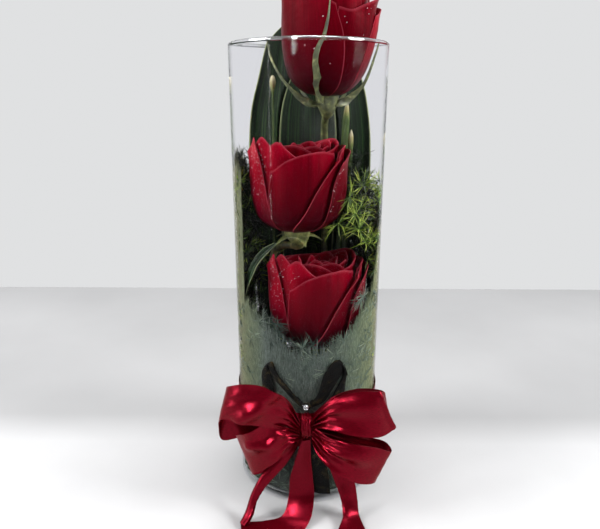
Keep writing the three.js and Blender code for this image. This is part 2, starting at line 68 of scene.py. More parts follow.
VASE_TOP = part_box("vase")[1]
VASE_RADIUS = VASE_TOP.x / MM
WATER_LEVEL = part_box("water")[1].z / MM
STEM_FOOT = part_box("rose_top_stem")[0].z / MM
BAND_LOW, BAND_HIGH = (corner.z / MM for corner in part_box("ribbon_band"))

# The wall is thinner than the solid's, so that it shifts what stands behind it no more than the real one does.
GLASS_WALL = 0.8
GLASS_FLOOR = 6.0
INNER_RADIUS = VASE_RADIUS - GLASS_WALL
RIM_HEIGHT = VASE_TOP.z / MM + 2.4
RIM_BEAD = 1.15
RIM_BEAD_TURN = 268
FLOOR_FILLET = 2.5
FOOT_BEVEL = 1.5
ROUND_SIDES = 144

ROSE_STEM_RADIUS = 2.4
LEAF_STALK_RADIUS = 1.8
FERN_STALK_RADIUS = 1.1

# ---------------------------------------------------------------- curves and meshes


def spread(values, t):
    """Values at equal steps joined by a smooth curve, read at each t from 0 to 1."""
    values = np.asarray(values, float)
    last = len(values) - 1
    t = np.clip(np.asarray(t, float), 0, 1) * last
    i = np.minimum(t.astype(int), last - 1)
    w = t - i
    if values.ndim > 1:
        w = w[..., None]
    a, b, c, d = (values[np.clip(i + k, 0, last)] for k in (-1, 0, 1, 2))
    return b + 0.5 * w * ((c - a) + w * ((2 * a - 5 * b + 4 * c - d) + w * (3 * (b - c) + d - a)))


def smooth_path(points, t):
    """A point on the centripetal curve through the points, at t from 0 to 1."""
    points = np.asarray(points, float)
    last = len(points) - 1
    i = min(int(t * last), last - 1)
    w = t * last - i
    p1, p2 = points[i], points[i + 1]
    p0 = points[i - 1] if i > 0 else 2 * p1 - p2
    p3 = points[i + 2] if i + 2 <= last else 2 * p2 - p1
    d0, d1, d2 = (max(np.linalg.norm(b - a) ** 0.5, 1e-4) for a, b in ((p0, p1), (p1, p2), (p2, p3)))
    m1 = ((p1 - p0) / d0 - (p2 - p0) / (d0 + d1) + (p2 - p1) / d1) * d1
    m2 = ((p2 - p1) / d1 - (p3 - p1) / (d1 + d2) + (p3 - p2) / d2) * d1
    return p1 + w * (m1 + w * (-3 * p1 + 3 * p2 - 2 * m1 - m2 + w * (2 * p1 - 2 * p2 + m1 + m2)))


def path_points(points, count):
    """Evenly spaced points on the smooth curve through the given ones."""
    fine = np.array([smooth_path(points, t) for t in np.linspace(0, 1, 12 * len(points))])
    walked = np.concatenate([[0], np.cumsum(np.linalg.norm(np.diff(fine, axis=0), axis=1))])
    wanted = np.linspace(0, walked[-1], count)
    return np.stack([np.interp(wanted, walked, fine[:, axis]) for axis in range(3)], axis=1)


def length_of(points):
    return float(np.linalg.norm(np.diff(points, axis=0), axis=1).sum())


def deselect():
    if bpy.context.object and bpy.context.object.mode != "OBJECT":
        bpy.ops.object.mode_set(mode="OBJECT")
    bpy.ops.object.select_all(action="DESELECT")


def select_only(*pieces):
    deselect()
    for piece in pieces:
        piece.select_set(True)
    bpy.context.view_layer.objects.active = pieces[0]


def apply_modifier(piece, kind, **settings):
    modifier = piece.modifiers.new(kind.title(), kind)
    for name, value in settings.items():
        setattr(modifier, name, value)
    select_only(piece)
    bpy.ops.object.modifier_apply(modifier=modifier.name)


def join(name, pieces):
    """Joins objects into one, named after the piece."""
    select_only(*pieces)
    if len(pieces) > 1:
        bpy.ops.object.join()
    pieces[0].name = pieces[0].data.name = name
    return pieces[0]


def smooth_shade(piece, angle=50):
    select_only(piece)
    bpy.ops.object.shade_smooth_by_angle(angle=math.radians(angle))


def thin_sheet(name, at, along, across, thickness, flat=None):
    """A grid bent to at(u, v) and thickened. With flat = (length, width) its UV map is in metres."""
    deselect()
    bpy.ops.mesh.primitive_grid_add(x_subdivisions=along, y_subdivisions=across, size=1)
    piece = bpy.context.object
    piece.name = piece.data.name = name
    mesh = piece.data
    flat_points = np.empty(len(mesh.vertices) * 3)
    mesh.vertices.foreach_get("co", flat_points)
    u, v = (flat_points.reshape(-1, 3)[:, :2] + 0.5).T
    mesh.vertices.foreach_set("co", (at(u, v) * MM).astype(np.float32).ravel())
    if flat:
        layer = mesh.uv_layers.active.data
        corners = np.empty(len(layer) * 2)
        layer.foreach_get("uv", corners)
        layer.foreach_set("uv", (corners.reshape(-1, 2) * np.array(flat) * MM).ravel())
    mesh.update()
    apply_modifier(piece, "SOLIDIFY", thickness=thickness * MM, offset=0.0)
    smooth_shade(piece)
    return piece


TINT_AT_ROOT = 0.55


class Bundle:
    """Many small tubes gathered into one mesh, with a value from 0 to 1 at each point for its colour and painted shade.
    """

    def __init__(self):
        self.points, self.faces, self.tints_and_shades = [], [], []
        self.count = 0

    def tube(self, centres, radii, sides, tint=0.5, pointed=False):
        centres = np.asarray(centres, float)
        steps = len(centres)
        tangents = np.gradient(centres, axis=0)
        tangents /= np.linalg.norm(tangents, axis=1)[:, None]
        guide = np.array([1.0, 0, 0]) if abs(tangents[0][0]) < 0.8 else np.array([0, 1.0, 0])
        angles = 2 * np.pi * np.arange(sides) / sides
        rings = steps - 1 if pointed else steps
        for i in range(rings):
            side = guide - tangents[i] * (guide @ tangents[i])
            side /= np.linalg.norm(side)
            guide = side
            other = np.cross(tangents[i], side)
            ring = np.cos(angles)[:, None] * side + np.sin(angles)[:, None] * other
            self.points.append(centres[i] + ring * radii[i])
        base = self.count
        for i in range(rings - 1):
            for k in range(sides):
                a, b = base + i * sides + k, base + i * sides + (k + 1) % sides
                self.faces.append((a, b, b + sides, a + sides))
        self.faces.append(tuple(base + k for k in reversed(range(sides))))
        last = base + (rings - 1) * sides
        if pointed:
            self.points.append(centres[-1:])
            tip = base + rings * sides
            self.faces += [(last + k, last + (k + 1) % sides, tip) for k in range(sides)]
        else:
            self.faces.append(tuple(last + k for k in range(sides)))
        added = rings * sides + (1 if pointed else 0)
        along = np.repeat(np.linspace(0, 1, rings), sides)
        if pointed:
            along = np.append(along, 1.0)
        self.tints_and_shades.append(np.clip(tint * (TINT_AT_ROOT + (1 - TINT_AT_ROOT) * along), 0, 1))
        self.count += added

    def piece(self, name):
        mesh = bpy.data.meshes.new(name)
        mesh.from_pydata((np.concatenate(self.points) * MM).tolist(), [], self.faces)
        tint = mesh.attributes.new("tint", "FLOAT", "POINT")
        tint.data.foreach_set("value", np.concatenate(self.tints_and_shades).astype(np.float32))
        mesh.update()
        made = bpy.data.objects.new(name, mesh)
        bpy.context.scene.collection.objects.link(made)
        return made


def dress(piece, material, slot, *nodes):
    """Gives a finished piece its material, ties it to the body and hides the CAD nodes it stands for. slot is not used.
    """
    piece.data.materials.clear()
    piece.data.materials.append(material)
    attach(piece, BODY)
    if nodes:
        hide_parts(*nodes)
    return piece


# ---------------------------------------------------------------- materials


def linear(hex_colour):
    """An sRGB hex colour as linear RGBA."""
    values = [int(hex_colour[i : i + 2], 16) / 255 for i in (1, 3, 5)]
    return (*(v / 12.92 if v <= 0.04045 else ((v + 0.055) / 1.055) ** 2.4 for v in values), 1.0)


def add(tree, kind, inputs=None, stops=None, **settings):
    """Adds a node: settings are its properties, inputs map a socket to a value or to (node, output)."""
    made = tree.nodes.new(kind)
    for name, value in settings.items():
        setattr(made, name, value)
    if stops:
        ramp = made.color_ramp.elements
        while len(ramp) < len(stops):
            ramp.new(1.0)
        for element, (position, colour) in zip(ramp, stops):
            element.position = position
            element.color = linear(colour) if isinstance(colour, str) else (colour, colour, colour, 1.0)
    for socket, value in (inputs or {}).items():
        if isinstance(value, tuple) and isinstance(value[0], bpy.types.Node):
            tree.links.new(value[0].outputs[value[1]], made.inputs[socket])
        else:
            made.inputs[socket].default_value = value
    return made


# The settings of a Mix node that multiplies one colour by another.
TIMES = {"data_type": "RGBA", "blend_type": "MULTIPLY"}


def new_material(name):
    material = bpy.data.materials.new(name)
    material.use_nodes = True
    tree = material.node_tree
    tree.nodes.clear()
    return material, tree


def output(tree, shader):
    add(tree, "ShaderNodeOutputMaterial", {"Surface": (shader, 0)})


def per_mm(size):
    """The scale of a pattern whose features are size mm across, in coordinates that are in metres."""
    return 1.0 / (size * MM)


def petal_material(full_colour):
    """Rose petal: velvety cells over deep crimson, in full colour near the turned lip, with painted shade that darkens
    it towards the claw and a painted highlight along its rim.
    """
    material, tree = new_material("rose petal, velvety crimson")
    place = add(tree, "ShaderNodeUVMap", uv_map="UVMap")
    parts = add(tree, "ShaderNodeSeparateXYZ", {0: (place, 0)})
    # Painted shade: the red darkens towards the claw, down in the bloom where the shade falls.
    body = add(
        tree,
        "ShaderNodeValToRGB",
        {0: (parts, 0)},
        stops=[(0.0, "#180104"), (0.4, "#40000A"), (0.8, "#740013"), (0.96, full_colour)],
    )
    # A thin line along its lip and down its sides is painted paler: a painted highlight where the rim catches the
    # light.
    centred = add(tree, "ShaderNodeMath", {0: (parts, 1), 1: 0.5}, operation="SUBTRACT")
    off_middle = add(tree, "ShaderNodeMath", {0: (centred, 0)}, operation="ABSOLUTE")
    doubled = add(tree, "ShaderNodeMath", {0: (off_middle, 0), 1: 2.0}, operation="MULTIPLY")
    outward = add(tree, "ShaderNodeMath", {0: (parts, 0), 1: (doubled, 0)}, operation="MAXIMUM")
    lip = add(tree, "ShaderNodeValToRGB", {0: (outward, 0)}, stops=[(0.972, 0.0), (0.998, 0.7)])
    # Each petal's red is made brighter or darker by painted light and shade: brighter on the petals that catch the
    # light, darker on those in shade. Broad darker streaks run from claw to lip.
    own = add(tree, "ShaderNodeAttribute", attribute_name="tone")
    lit_or_shaded = add(tree, "ShaderNodeVectorMath", {0: (body, 0), 1: (own, "Vector")}, operation="MULTIPLY")
    broad = add(tree, "ShaderNodeMapping", {"Vector": (place, 0), "Scale": (0.9, 7.0, 1.0)})
    mottle = add(tree, "ShaderNodeTexNoise", {"Vector": (broad, 0), "Scale": 1.0, "Detail": 3.0})
    shade = add(tree, "ShaderNodeValToRGB", {0: (mottle, 0)}, stops=[(0.34, 0.62), (0.5, 0.9), (0.66, 1.0)])
    toned = add(tree, "ShaderNodeMix", {"Factor": 1.0, 6: (lit_or_shaded, 0), 7: (shade, 0)}, **TIMES)
    # Veins fan out from the claw: some fifty across a petal, drawn as streaks along it.
    streak = add(tree, "ShaderNodeMapping", {"Vector": (place, 0), "Scale": (1.5, 46.0, 1.0)})
    veins = add(tree, "ShaderNodeTexNoise", {"Vector": (streak, 0), "Scale": 1.0, "Detail": 2.0})
    veined = add(tree, "ShaderNodeValToRGB", {0: (veins, 0)}, stops=[(0.35, 0.82), (0.65, 1.06)])
    colour = add(tree, "ShaderNodeMix", {"Factor": 1.0, 6: (toned, 2), 7: (veined, 0)}, **TIMES)
    # The colour of the painted highlight along the rim.
    edge = {"Factor": (lip, 0), 6: (colour, 2), 7: linear("#A83A48")}
    rim_highlighted = add(tree, "ShaderNodeMix", edge, data_type="RGBA")
    solid = add(tree, "ShaderNodeTexCoord")
    fine = add(tree, "ShaderNodeBump", {"Strength": 0.25, "Distance": 0.3 * MM, "Height": (veins, 0)})
    # Soft dents some 7 mm across bend the light over the whole petal.
    dents = add(tree, "ShaderNodeTexNoise", {"Vector": (solid, "Object"), "Scale": per_mm(7), "Detail": 3.0})
    bump = add(
        tree,
        "ShaderNodeBump",
        {"Strength": 0.6, "Distance": 0.8 * MM, "Height": (dents, 0), "Normal": (fine, 0)},
    )
    shader = add(
        tree,
        "ShaderNodeBsdfPrincipled",
        {
            "Base Color": (rim_highlighted, 2),
            "Roughness": 0.42,
            "Specular IOR Level": 0.1,
            "Specular Tint": linear("#FF5068"),
            "Normal": (bump, 0),
        },
    )
    output(tree, shader)
    return material


GLASS_IOR = 1.5
WATER_IOR = 1.333
# Where the wall is seen aslant, this share of the light goes straight through, so that its edges stay
# faint against a pale wall behind them.
FAINT_EDGE = 0.75


def glass_material(name, colour, ior, mirror):
    """Clear glass or water: bends what lies behind, and lets the lamps' light through to what it holds."""
    material, tree = new_material(name)
    bent = add(tree, "ShaderNodeBsdfRefraction", {"Color": linear(colour), "Roughness": 0.0, "IOR": ior})
    gloss = add(tree, "ShaderNodeBsdfGlossy", {"Color": linear("#FFFFFF"), "Roughness": 0.02})
    clear = add(tree, "ShaderNodeMixShader", {0: mirror, 1: (bent, 0), 2: (gloss, 0)})
    # Seen aslant or from within it mirrors more and more, as glass does.
    full = add(tree, "ShaderNodeBsdfGlass", {"Color": linear(colour), "Roughness": 0.0, "IOR": ior})
    open_air = add(tree, "ShaderNodeBsdfTransparent", {"Color": linear(colour)})
    faint = add(tree, "ShaderNodeMixShader", {0: FAINT_EDGE, 1: (full, 0), 2: (open_air, 0)})
    fresnel = add(tree, "ShaderNodeFresnel", {"IOR": ior})
    slant = add(tree, "ShaderNodeValToRGB", {0: (fresnel, 0)}, stops=[(0.2, 0.0), (0.8, 1.0)])
    clear = add(tree, "ShaderNodeMixShader", {0: (slant, 0), 1: (clear, 0), 2: (faint, 0)})
    ray = add(tree, "ShaderNodeLightPath")
    dull = {0: (ray, "Is Shadow Ray"), 1: (ray, "Is Diffuse Ray")}
    dull = add(tree, "ShaderNodeMath", dull, operation="MAXIMUM")
    mixed = add(tree, "ShaderNodeMixShader", {0: (dull, 0), 1: (clear, 0), 2: (open_air, 0)})
    output(tree, mixed)
    return material


def dew_material():
    """Dew: small bright beads of water, with the white of the room painted into them as a painted reflection."""
    material, tree = new_material("dew, beads of water")
    solid = add(tree, "ShaderNodeTexCoord")
    cloud = add(tree, "ShaderNodeTexNoise", {"Vector": (solid, "Object"), "Scale": per_mm(1.5)})
    # Painted reflection: a near-white base colour, pinkish in places, stands for the room mirrored in each bead.
    colour = add(tree, "ShaderNodeValToRGB", {0: (cloud, 0)}, stops=[(0.35, "#E8C8CC"), (0.6, "#FFFFFF")])
    shader = add(
        tree,
        "ShaderNodeBsdfPrincipled",
        {"Base Color": (colour, 0), "Roughness": 0.05, "IOR": WATER_IOR, "Transmission Weight": 0.35},
    )
    output(tree, shader)
    return material


def leaf_material(vein_colour):
    """Long dark leaf: waxy, with fine parallel veins along it and a thin pale painted highlight along its edges."""
    material, tree = new_material("long leaf, waxy dark green")
    place = add(tree, "ShaderNodeUVMap", uv_map="UVMap")
    parts = add(tree, "ShaderNodeSeparateXYZ", {0: (place, 0)})
    streak = add(tree, "ShaderNodeMapping", {"Vector": (place, 0), "Scale": (1.2, 30.0, 1.0)})
    veins = add(tree, "ShaderNodeTexNoise", {"Vector": (streak, 0), "Scale": 1.0, "Detail": 3.0})
    body = add(
        tree,
        "ShaderNodeValToRGB",
        {0: (veins, 0)},
        stops=[(0.3, "#0A120A"), (0.5, "#142414"), (0.62, "#223A1C"), (0.75, vein_colour)],
    )
    # A painted highlight runs along the outer thirtieth on either side of the blade.
    centred = add(tree, "ShaderNodeMath", {0: (parts, 1), 1: 0.5}, operation="SUBTRACT")
    off_middle = add(tree, "ShaderNodeMath", {0: (centred, 0)}, operation="ABSOLUTE")
    margin_highlight = add(tree, "ShaderNodeValToRGB", {0: (off_middle, 0)}, stops=[(0.468, 0.0), (0.492, 0.85)])
    edge = {"Factor": (margin_highlight, 0), 6: (body, 0), 7: linear("#A9B384")}
    colour = add(tree, "ShaderNodeMix", edge, data_type="RGBA")
    bump = add(tree, "ShaderNodeBump", {"Strength": 0.5, "Distance": 0.3 * MM, "Height": (veins, 0)})
    shader = add(
        tree,
        "ShaderNodeBsdfPrincipled",
        {
            "Base Color": (colour, 2),
            "Roughness": 0.4,
            "Specular IOR Level": 0.16,
            "Normal": (bump, 0),
        },
    )
    output(tree, shader)
    return material


def stem_material(name, colours):
    """Rose stem, calyx and sepals: dull grey-green skin, yellower where it is young."""
    material, tree = new_material(name)
    solid = add(tree, "ShaderNodeTexCoord")
    mottle = add(tree, "ShaderNodeTexNoise", {"Vector": (solid, "Object"), "Scale": per_mm(4), "Detail": 4.0})
    places = (0.32, 0.5, 0.62, 0.74)
    colour = add(tree, "ShaderNodeValToRGB", {0: (mottle, 0)}, stops=list(zip(places, colours)))
    bump = add(tree, "ShaderNodeBump", {"Strength": 0.4, "Distance": 0.3 * MM, "Height": (mottle, 0)})
    shader = add(
        tree,
        "ShaderNodeBsdfPrincipled",
        {"Base Color": (colour, 0), "Roughness": 0.5, "Normal": (bump, 0)},
    )
    output(tree, shader)
    return material


def tinted_material(name, stops, roughness, grain_mm):
    """A skin coloured by the value each needle or stalk carries: the stalks' own colour, and on the fern painted light
    and shade as well.
    """
    material, tree = new_material(name)
    tint = add(tree, "ShaderNodeAttribute", attribute_name="tint")
    solid = add(tree, "ShaderNodeTexCoord")
    grain = {"Vector": (solid, "Object"), "Scale": per_mm(grain_mm), "Detail": 2.0}
    grain = add(tree, "ShaderNodeTexNoise", grain)
    # The grain lightens some stretches and darkens others, each by up to half of its play.
    play = 0.3
    shaken = add(tree, "ShaderNodeMath", {0: (grain, 0), 1: play, 2: (tint, "Fac")}, operation="MULTIPLY_ADD")
    lowered = add(tree, "ShaderNodeMath", {0: (shaken, 0), 1: play / 2}, operation="SUBTRACT")
    colour = add(tree, "ShaderNodeValToRGB", {0: (lowered, 0)}, stops=stops)
    shader = add(
        tree,
        "ShaderNodeBsdfPrincipled",
        {"Base Color": (colour, 0), "Roughness": roughness, "Specular IOR Level": 0.18},
    )
    output(tree, shader)
    return material


def pressed_material(name, ragged):
    """Fern pressed to the glass: fine strokes that cross, painted paler towards the sides; over its ragged top it thins
    out.
    """
    material, tree = new_material(name)
    solid = add(tree, "ShaderNodeTexCoord")
    parts = add(tree, "ShaderNodeSeparateXYZ", {0: (solid, "Object")})
    half_width = 48 * MM
    from_left = add(
        tree,
        "ShaderNodeMapRange",
        {"Value": (parts, 0), "From Min": -half_width, "From Max": half_width, "To Min": 0.0, "To Max": 1.0},
    )
    # Painted reflection: the mass is paler towards either side, where the glass is seen aslant.
    base = add(
        tree,
        "ShaderNodeValToRGB",
        {0: (from_left, 0)},
        stops=[
            (0.0, "#6E6B4C"), (0.03, "#5E6046"), (0.08, "#555C44"), (0.16, "#505A48"), (0.22, "#525C54"),
            (0.6, "#555F57"), (0.82, "#5A6652"), (0.94, "#646C4E"), (1.0, "#787656"),
        ],
    )
    # Needles are 0.4 mm thick, 4 mm of each shows, and they lie at three slants.
    strokes = None
    for slant in (12, -28, 55):
        turned = add(
            tree,
            "ShaderNodeMapping",
            {
                "Vector": (solid, "Object"),
                "Rotation": (0, math.radians(slant), 0),
                "Scale": (per_mm(0.4), per_mm(0.4), per_mm(4.0)),
            },
        )
        stroke = add(tree, "ShaderNodeTexNoise", {"Vector": (turned, 0), "Scale": 1.0, "Detail": 1.0})
        if strokes is None:
            strokes = stroke
        else:
            strokes = add(tree, "ShaderNodeMath", {0: (strokes, 0), 1: (stroke, 0)}, operation="MAXIMUM")
    contrast = add(tree, "ShaderNodeValToRGB", {0: (strokes, 0)}, stops=[(0.42, 0.5), (0.58, 0.95), (0.72, 1.6)])
    colour = add(tree, "ShaderNodeMix", {"Factor": 1.0, 6: (base, 0), 7: (contrast, 0)}, **TIMES)
    # Down in the water, behind the bow, it is in the dark: in full light only from 80 mm up.
    depth = add(tree, "ShaderNodeValToRGB", {0: (parts, 2)}, stops=[(40 * MM, 0.3), (80 * MM, 1.15)])
    colour = add(tree, "ShaderNodeMix", {"Factor": 1.0, 6: (colour, 2), 7: (depth, 0)}, **TIMES)
    bump = add(tree, "ShaderNodeBump", {"Strength": 0.6, "Distance": 0.5 * MM, "Height": (strokes, 0)})
    shader = add(
        tree,
        "ShaderNodeBsdfPrincipled",
        {"Base Color": (colour, 2), "Roughness": 0.8, "Specular IOR Level": 0.15, "Normal": (bump, 0)},
    )
    # Single needles stand out of the top: each streak ends at a height of its own.
    place = add(tree, "ShaderNodeUVMap", uv_map="UVMap")
    rise = add(tree, "ShaderNodeSeparateXYZ", {0: (place, 0)})
    streak = add(tree, "ShaderNodeMapping", {"Vector": (place, 0), "Scale": (9.0, 150.0, 1.0)})
    ends = add(tree, "ShaderNodeTexNoise", {"Vector": (streak, 0), "Scale": 1.0, "Detail": 2.0})
    reach = add(
        tree,
        "ShaderNodeMapRange",
        {"Value": (rise, 0), "From Min": 1 - ragged, "From Max": 1.0, "To Min": 0.25, "To Max": 0.75},
    )
    past = add(tree, "ShaderNodeMath", {0: (ends, 0), 1: (reach, 0)}, operation="LESS_THAN")
    gap = add(tree, "ShaderNodeBsdfTransparent")
    output(tree, add(tree, "ShaderNodeMixShader", {0: (past, 0), 1: (shader, 0), 2: (gap, 0)}))
    return material


def satin_material(full_colour):
    """Satin ribbon: polyester warp floats, so light gathers in soft streaks along the ribbon."""
    material, tree = new_material("red satin ribbon, woven polyester")
    place = add(tree, "ShaderNodeUVMap", uv_map="UVMap")
    # Warp floats are drawn 0.35 mm apart and some 2 mm long, coarser than real ones, so that they show.
    stretch = add(tree, "ShaderNodeMapping", {"Vector": (place, 0), "Scale": (per_mm(2.0), per_mm(0.35), 1.0)})
    floats = add(tree, "ShaderNodeTexNoise", {"Vector": (stretch, 0), "Scale": 1.0, "Detail": 2.0})
    colour = add(tree, "ShaderNodeValToRGB", {0: (floats, 0)}, stops=[(0.3, "#560009"), (0.7, full_colour)])
    bump = add(tree, "ShaderNodeBump", {"Strength": 0.6, "Distance": 0.12 * MM, "Height": (floats, 0)})
    # Loose floats break the light into small sparks, 0.7 mm apart across the ribbon and 0.9 mm along it.
    loose = add(tree, "ShaderNodeMapping", {"Vector": (place, 0), "Scale": (per_mm(0.9), per_mm(0.7), 1.0)})
    sparks = add(tree, "ShaderNodeTexNoise", {"Vector": (loose, 0), "Scale": 1.0, "Detail": 0.0})
    gloss = add(tree, "ShaderNodeValToRGB", {0: (sparks, 0)}, stops=[(0.38, 0.27), (0.62, 0.23)])
    tangent = add(tree, "ShaderNodeTangent", direction_type="UV_MAP", uv_map="UVMap")
    shader = add(
        tree,
        "ShaderNodeBsdfPrincipled",
        {
            "Base Color": (colour, 0),
            "Metallic": 0.5,
            "Roughness": (gloss, 0),
            "Specular IOR Level": 0.45,
            "Specular Tint": linear("#FF7C96"),
            "Anisotropic": 0.4,
            "Tangent": (tangent, 0),
            "Normal": (bump, 0),
        },
    )
    output(tree, shader)
    return material


def net_material():
    """Dark net ribbon: black threads with open cells of about 1.5 mm between them."""
    material, tree = new_material("dark net ribbon, knitted thread")
    place = add(tree, "ShaderNodeUVMap", uv_map="UVMap")
    turned = add(
        tree,
        "ShaderNodeMapping",
        {
            "Vector": (place, 0),
            "Rotation": (0, 0, math.radians(45)),
            "Scale": (per_mm(1.5), per_mm(1.5), 1.0),
        },
    )
    cells = add(
        tree,
        "ShaderNodeTexVoronoi",
        {"Vector": (turned, 0), "Scale": 1.0, "Randomness": 0.45},
        feature="DISTANCE_TO_EDGE",
        voronoi_dimensions="2D",
    )
    hole = add(tree, "ShaderNodeValToRGB", {0: (cells, 0)}, stops=[(0.16, 0.0), (0.22, 0.12)])
    solid = add(tree, "ShaderNodeTexCoord")
    # The threads are near black, with olive-brown patches some 5 mm across at random.
    olive_patches = add(tree, "ShaderNodeTexNoise", {"Vector": (solid, "Object"), "Scale": per_mm(5), "Detail": 3.0})
    colour = add(
        tree,
        "ShaderNodeValToRGB",
        {0: (olive_patches, 0)},
        stops=[(0.44, "#030303"), (0.54, "#0D0B07"), (0.63, "#2C2511"), (0.74, "#4C401D")],
    )
    thread = add(
        tree,
        "ShaderNodeBsdfPrincipled",
        {"Base Color": (colour, 0), "Roughness": 0.7, "Specular IOR Level": 0.12},
    )
    gap = add(tree, "ShaderNodeBsdfTransparent")
    mixed = add(tree, "ShaderNodeMixShader", {0: (hole, 0), 1: (thread, 0), 2: (gap, 0)})
    output(tree, mixed)
    return material


def wire_material():
    """Drawn steel wire: bright, with fine marks along it."""
    material, tree = new_material("pin, bright drawn steel wire")
    solid = add(tree, "ShaderNodeTexCoord")
    marks = add(tree, "ShaderNodeTexNoise", {"Vector": (solid, "Object"), "Scale": per_mm(0.8)})
    colour = add(tree, "ShaderNodeValToRGB", {0: (marks, 0)}, stops=[(0.3, "#A8A8AC"), (0.7, "#E4E4E8")])
    shader = add(
        tree,
        "ShaderNodeBsdfPrincipled",
        {"Base Color": (colour, 0), "Metallic": 1.0, "Roughness": 0.22},
    )
    output(tree, shader)
    return material


# ---------------------------------------------------------------- vase and water


def choose(piece, kind, test):
    """In edit mode, selects only the edges or faces whose corners all pass the test."""
    bpy.ops.mesh.select_mode(type=kind)
    bpy.ops.mesh.select_all(action="DESELECT")
    shape = bmesh.from_edit_mesh(piece.data)
    for item in {"EDGE": shape.edges, "FACE": shape.faces}[kind]:
        if all(test(corner.co / MM) for corner in item.verts):
            item.select_set(True)
    shape.select_flush_mode()
    bmesh.update_edit_mesh(piece.data)


def ring_at(height, radius, room=0.2):
    """A test for points on the circle of that radius at that height."""
    return lambda p: abs(p.z - height) < room and abs(math.hypot(p.x, p.y) - radius) < room


def cylinder(radius, low, high):
    """A round block between two heights, left in edit mode."""
    deselect()
    bpy.ops.mesh.primitive_cylinder_add(
        vertices=ROUND_SIDES, radius=radius * MM, depth=(high - low) * MM, location=(0, 0, (high + low) * MM / 2)
    )
    made = bpy.context.object
    bpy.ops.object.transform_apply(location=True, rotation=True, scale=True)
    bpy.ops.object.mode_set(mode="EDIT")
    return made


def build_vase():
    """A cylinder whose top face is drawn round the bead of the rim and down to the glass floor."""
    side = RIM_HEIGHT - RIM_BEAD
    vase = cylinder(VASE_RADIUS, 0, side)
    choose(vase, "FACE", lambda p: p.z > side - 0.1)
    # The bead is round, so its section turns until it meets the thinner wall.
    turns = np.radians(np.linspace(0, RIM_BEAD_TURN, 17))[1:]
    profile = [(VASE_RADIUS - RIM_BEAD * (1 - math.cos(t)), side + RIM_BEAD * math.sin(t)) for t in turns]
    profile[-1] = (INNER_RADIUS, profile[-1][1])
    radius, height = VASE_RADIUS, side
    for next_radius, next_height in [*profile, (INNER_RADIUS, GLASS_FLOOR)]:
        bpy.ops.mesh.extrude_region_move(TRANSFORM_OT_translate={"value": (0, 0, (next_height - height) * MM)})
        share = next_radius / radius
        bpy.ops.transform.resize(value=(share, share, 1), center_override=(0, 0, 0))
        radius, height = next_radius, next_height
    for edge_height, edge_radius, width, segments in (
        (GLASS_FLOOR, INNER_RADIUS, FLOOR_FILLET, 6),
        (0, VASE_RADIUS, FOOT_BEVEL, 4),
    ):
        choose(vase, "EDGE", ring_at(edge_height, edge_radius))
        bpy.ops.mesh.bevel(offset=width * MM, segments=segments)
    bpy.ops.object.mode_set(mode="OBJECT")
    smooth_shade(vase, 40)
    vase.name = vase.data.name = "vase_glass"
    dress(vase, glass_material("soda-lime glass, clear blown", "#FDFDFE", GLASS_IOR, 0.0016), "clear_glass", "vase")
    # The fire-polished bead mirrors more of the room than the straight wall does.
    vase.data.materials.append(glass_material("soda-lime glass, polished rim", "#FDFDFE", GLASS_IOR, 0.28))
    for face in vase.data.polygons:
        face.material_index = int(face.center.z / MM > side - 0.3)
    return vase


WETTED = 0.02
# The meniscus: how far in, and down by how much, from the wall to the flat of the water.
MENISCUS = ((0.7, -0.7), (1.3, -0.25))


def build_water():
    """The water wets the glass, so its edge climbs it a little and leaves no air between."""
    wetted = INNER_RADIUS + WETTED
    low = GLASS_FLOOR - WETTED
    water = cylinder(wetted, low, WATER_LEVEL)
    choose(water, "FACE", lambda p: p.z > WATER_LEVEL - 0.1)
    for inset, drop in MENISCUS:
        bpy.ops.mesh.inset(thickness=inset * MM)
        bpy.ops.transform.translate(value=(0, 0, drop * MM))
    choose(water, "EDGE", ring_at(low, wetted))
    bpy.ops.mesh.bevel(offset=FLOOR_FILLET * MM, segments=6)
    bpy.ops.object.mode_set(mode="OBJECT")
    smooth_shade(water)
    water.name = water.data.name = "vase_water"
    return dress(water, glass_material("water, clear", "#F8FAF9", WATER_IOR, 0.004), "water", "water")


# ---------------------------------------------------------------- rose blooms

# Each bloom's receptacle, its radius from side to side and from front to back, its height and how many
# degrees it leans.
ROSES = {
    "rose_bottom": {"base": (5, -13.5, 105), "across": 32, "deep": 27, "height": 66, "lean": 3},
    "rose_middle": {"base": (-7, -12.5, 186), "across": 30.5, "deep": 26, "height": 58, "lean": 4},
    "rose_top": {"base": (12, -3, 269), "across": 28.5, "deep": 27, "height": 67.5, "lean": 5},
}

# The rise of a petal from its claw, round its belly and up past its lip, as shares of radius and height.
PETAL_RISE = np.array(
    [(0.08, 0.03), (0.5, 0.05), (0.84, 0.18), (0.97, 0.38), (1.0, 0.6), (0.99, 0.8), (0.97, 0.97), (0.98, 1.14)]
)
RISE_STEPS = np.linspace(0, 1, 200)
RISE_CURVE = spread(PETAL_RISE, RISE_STEPS)
LIP_TURN = 0.22
CURLED_EDGE = 0.14


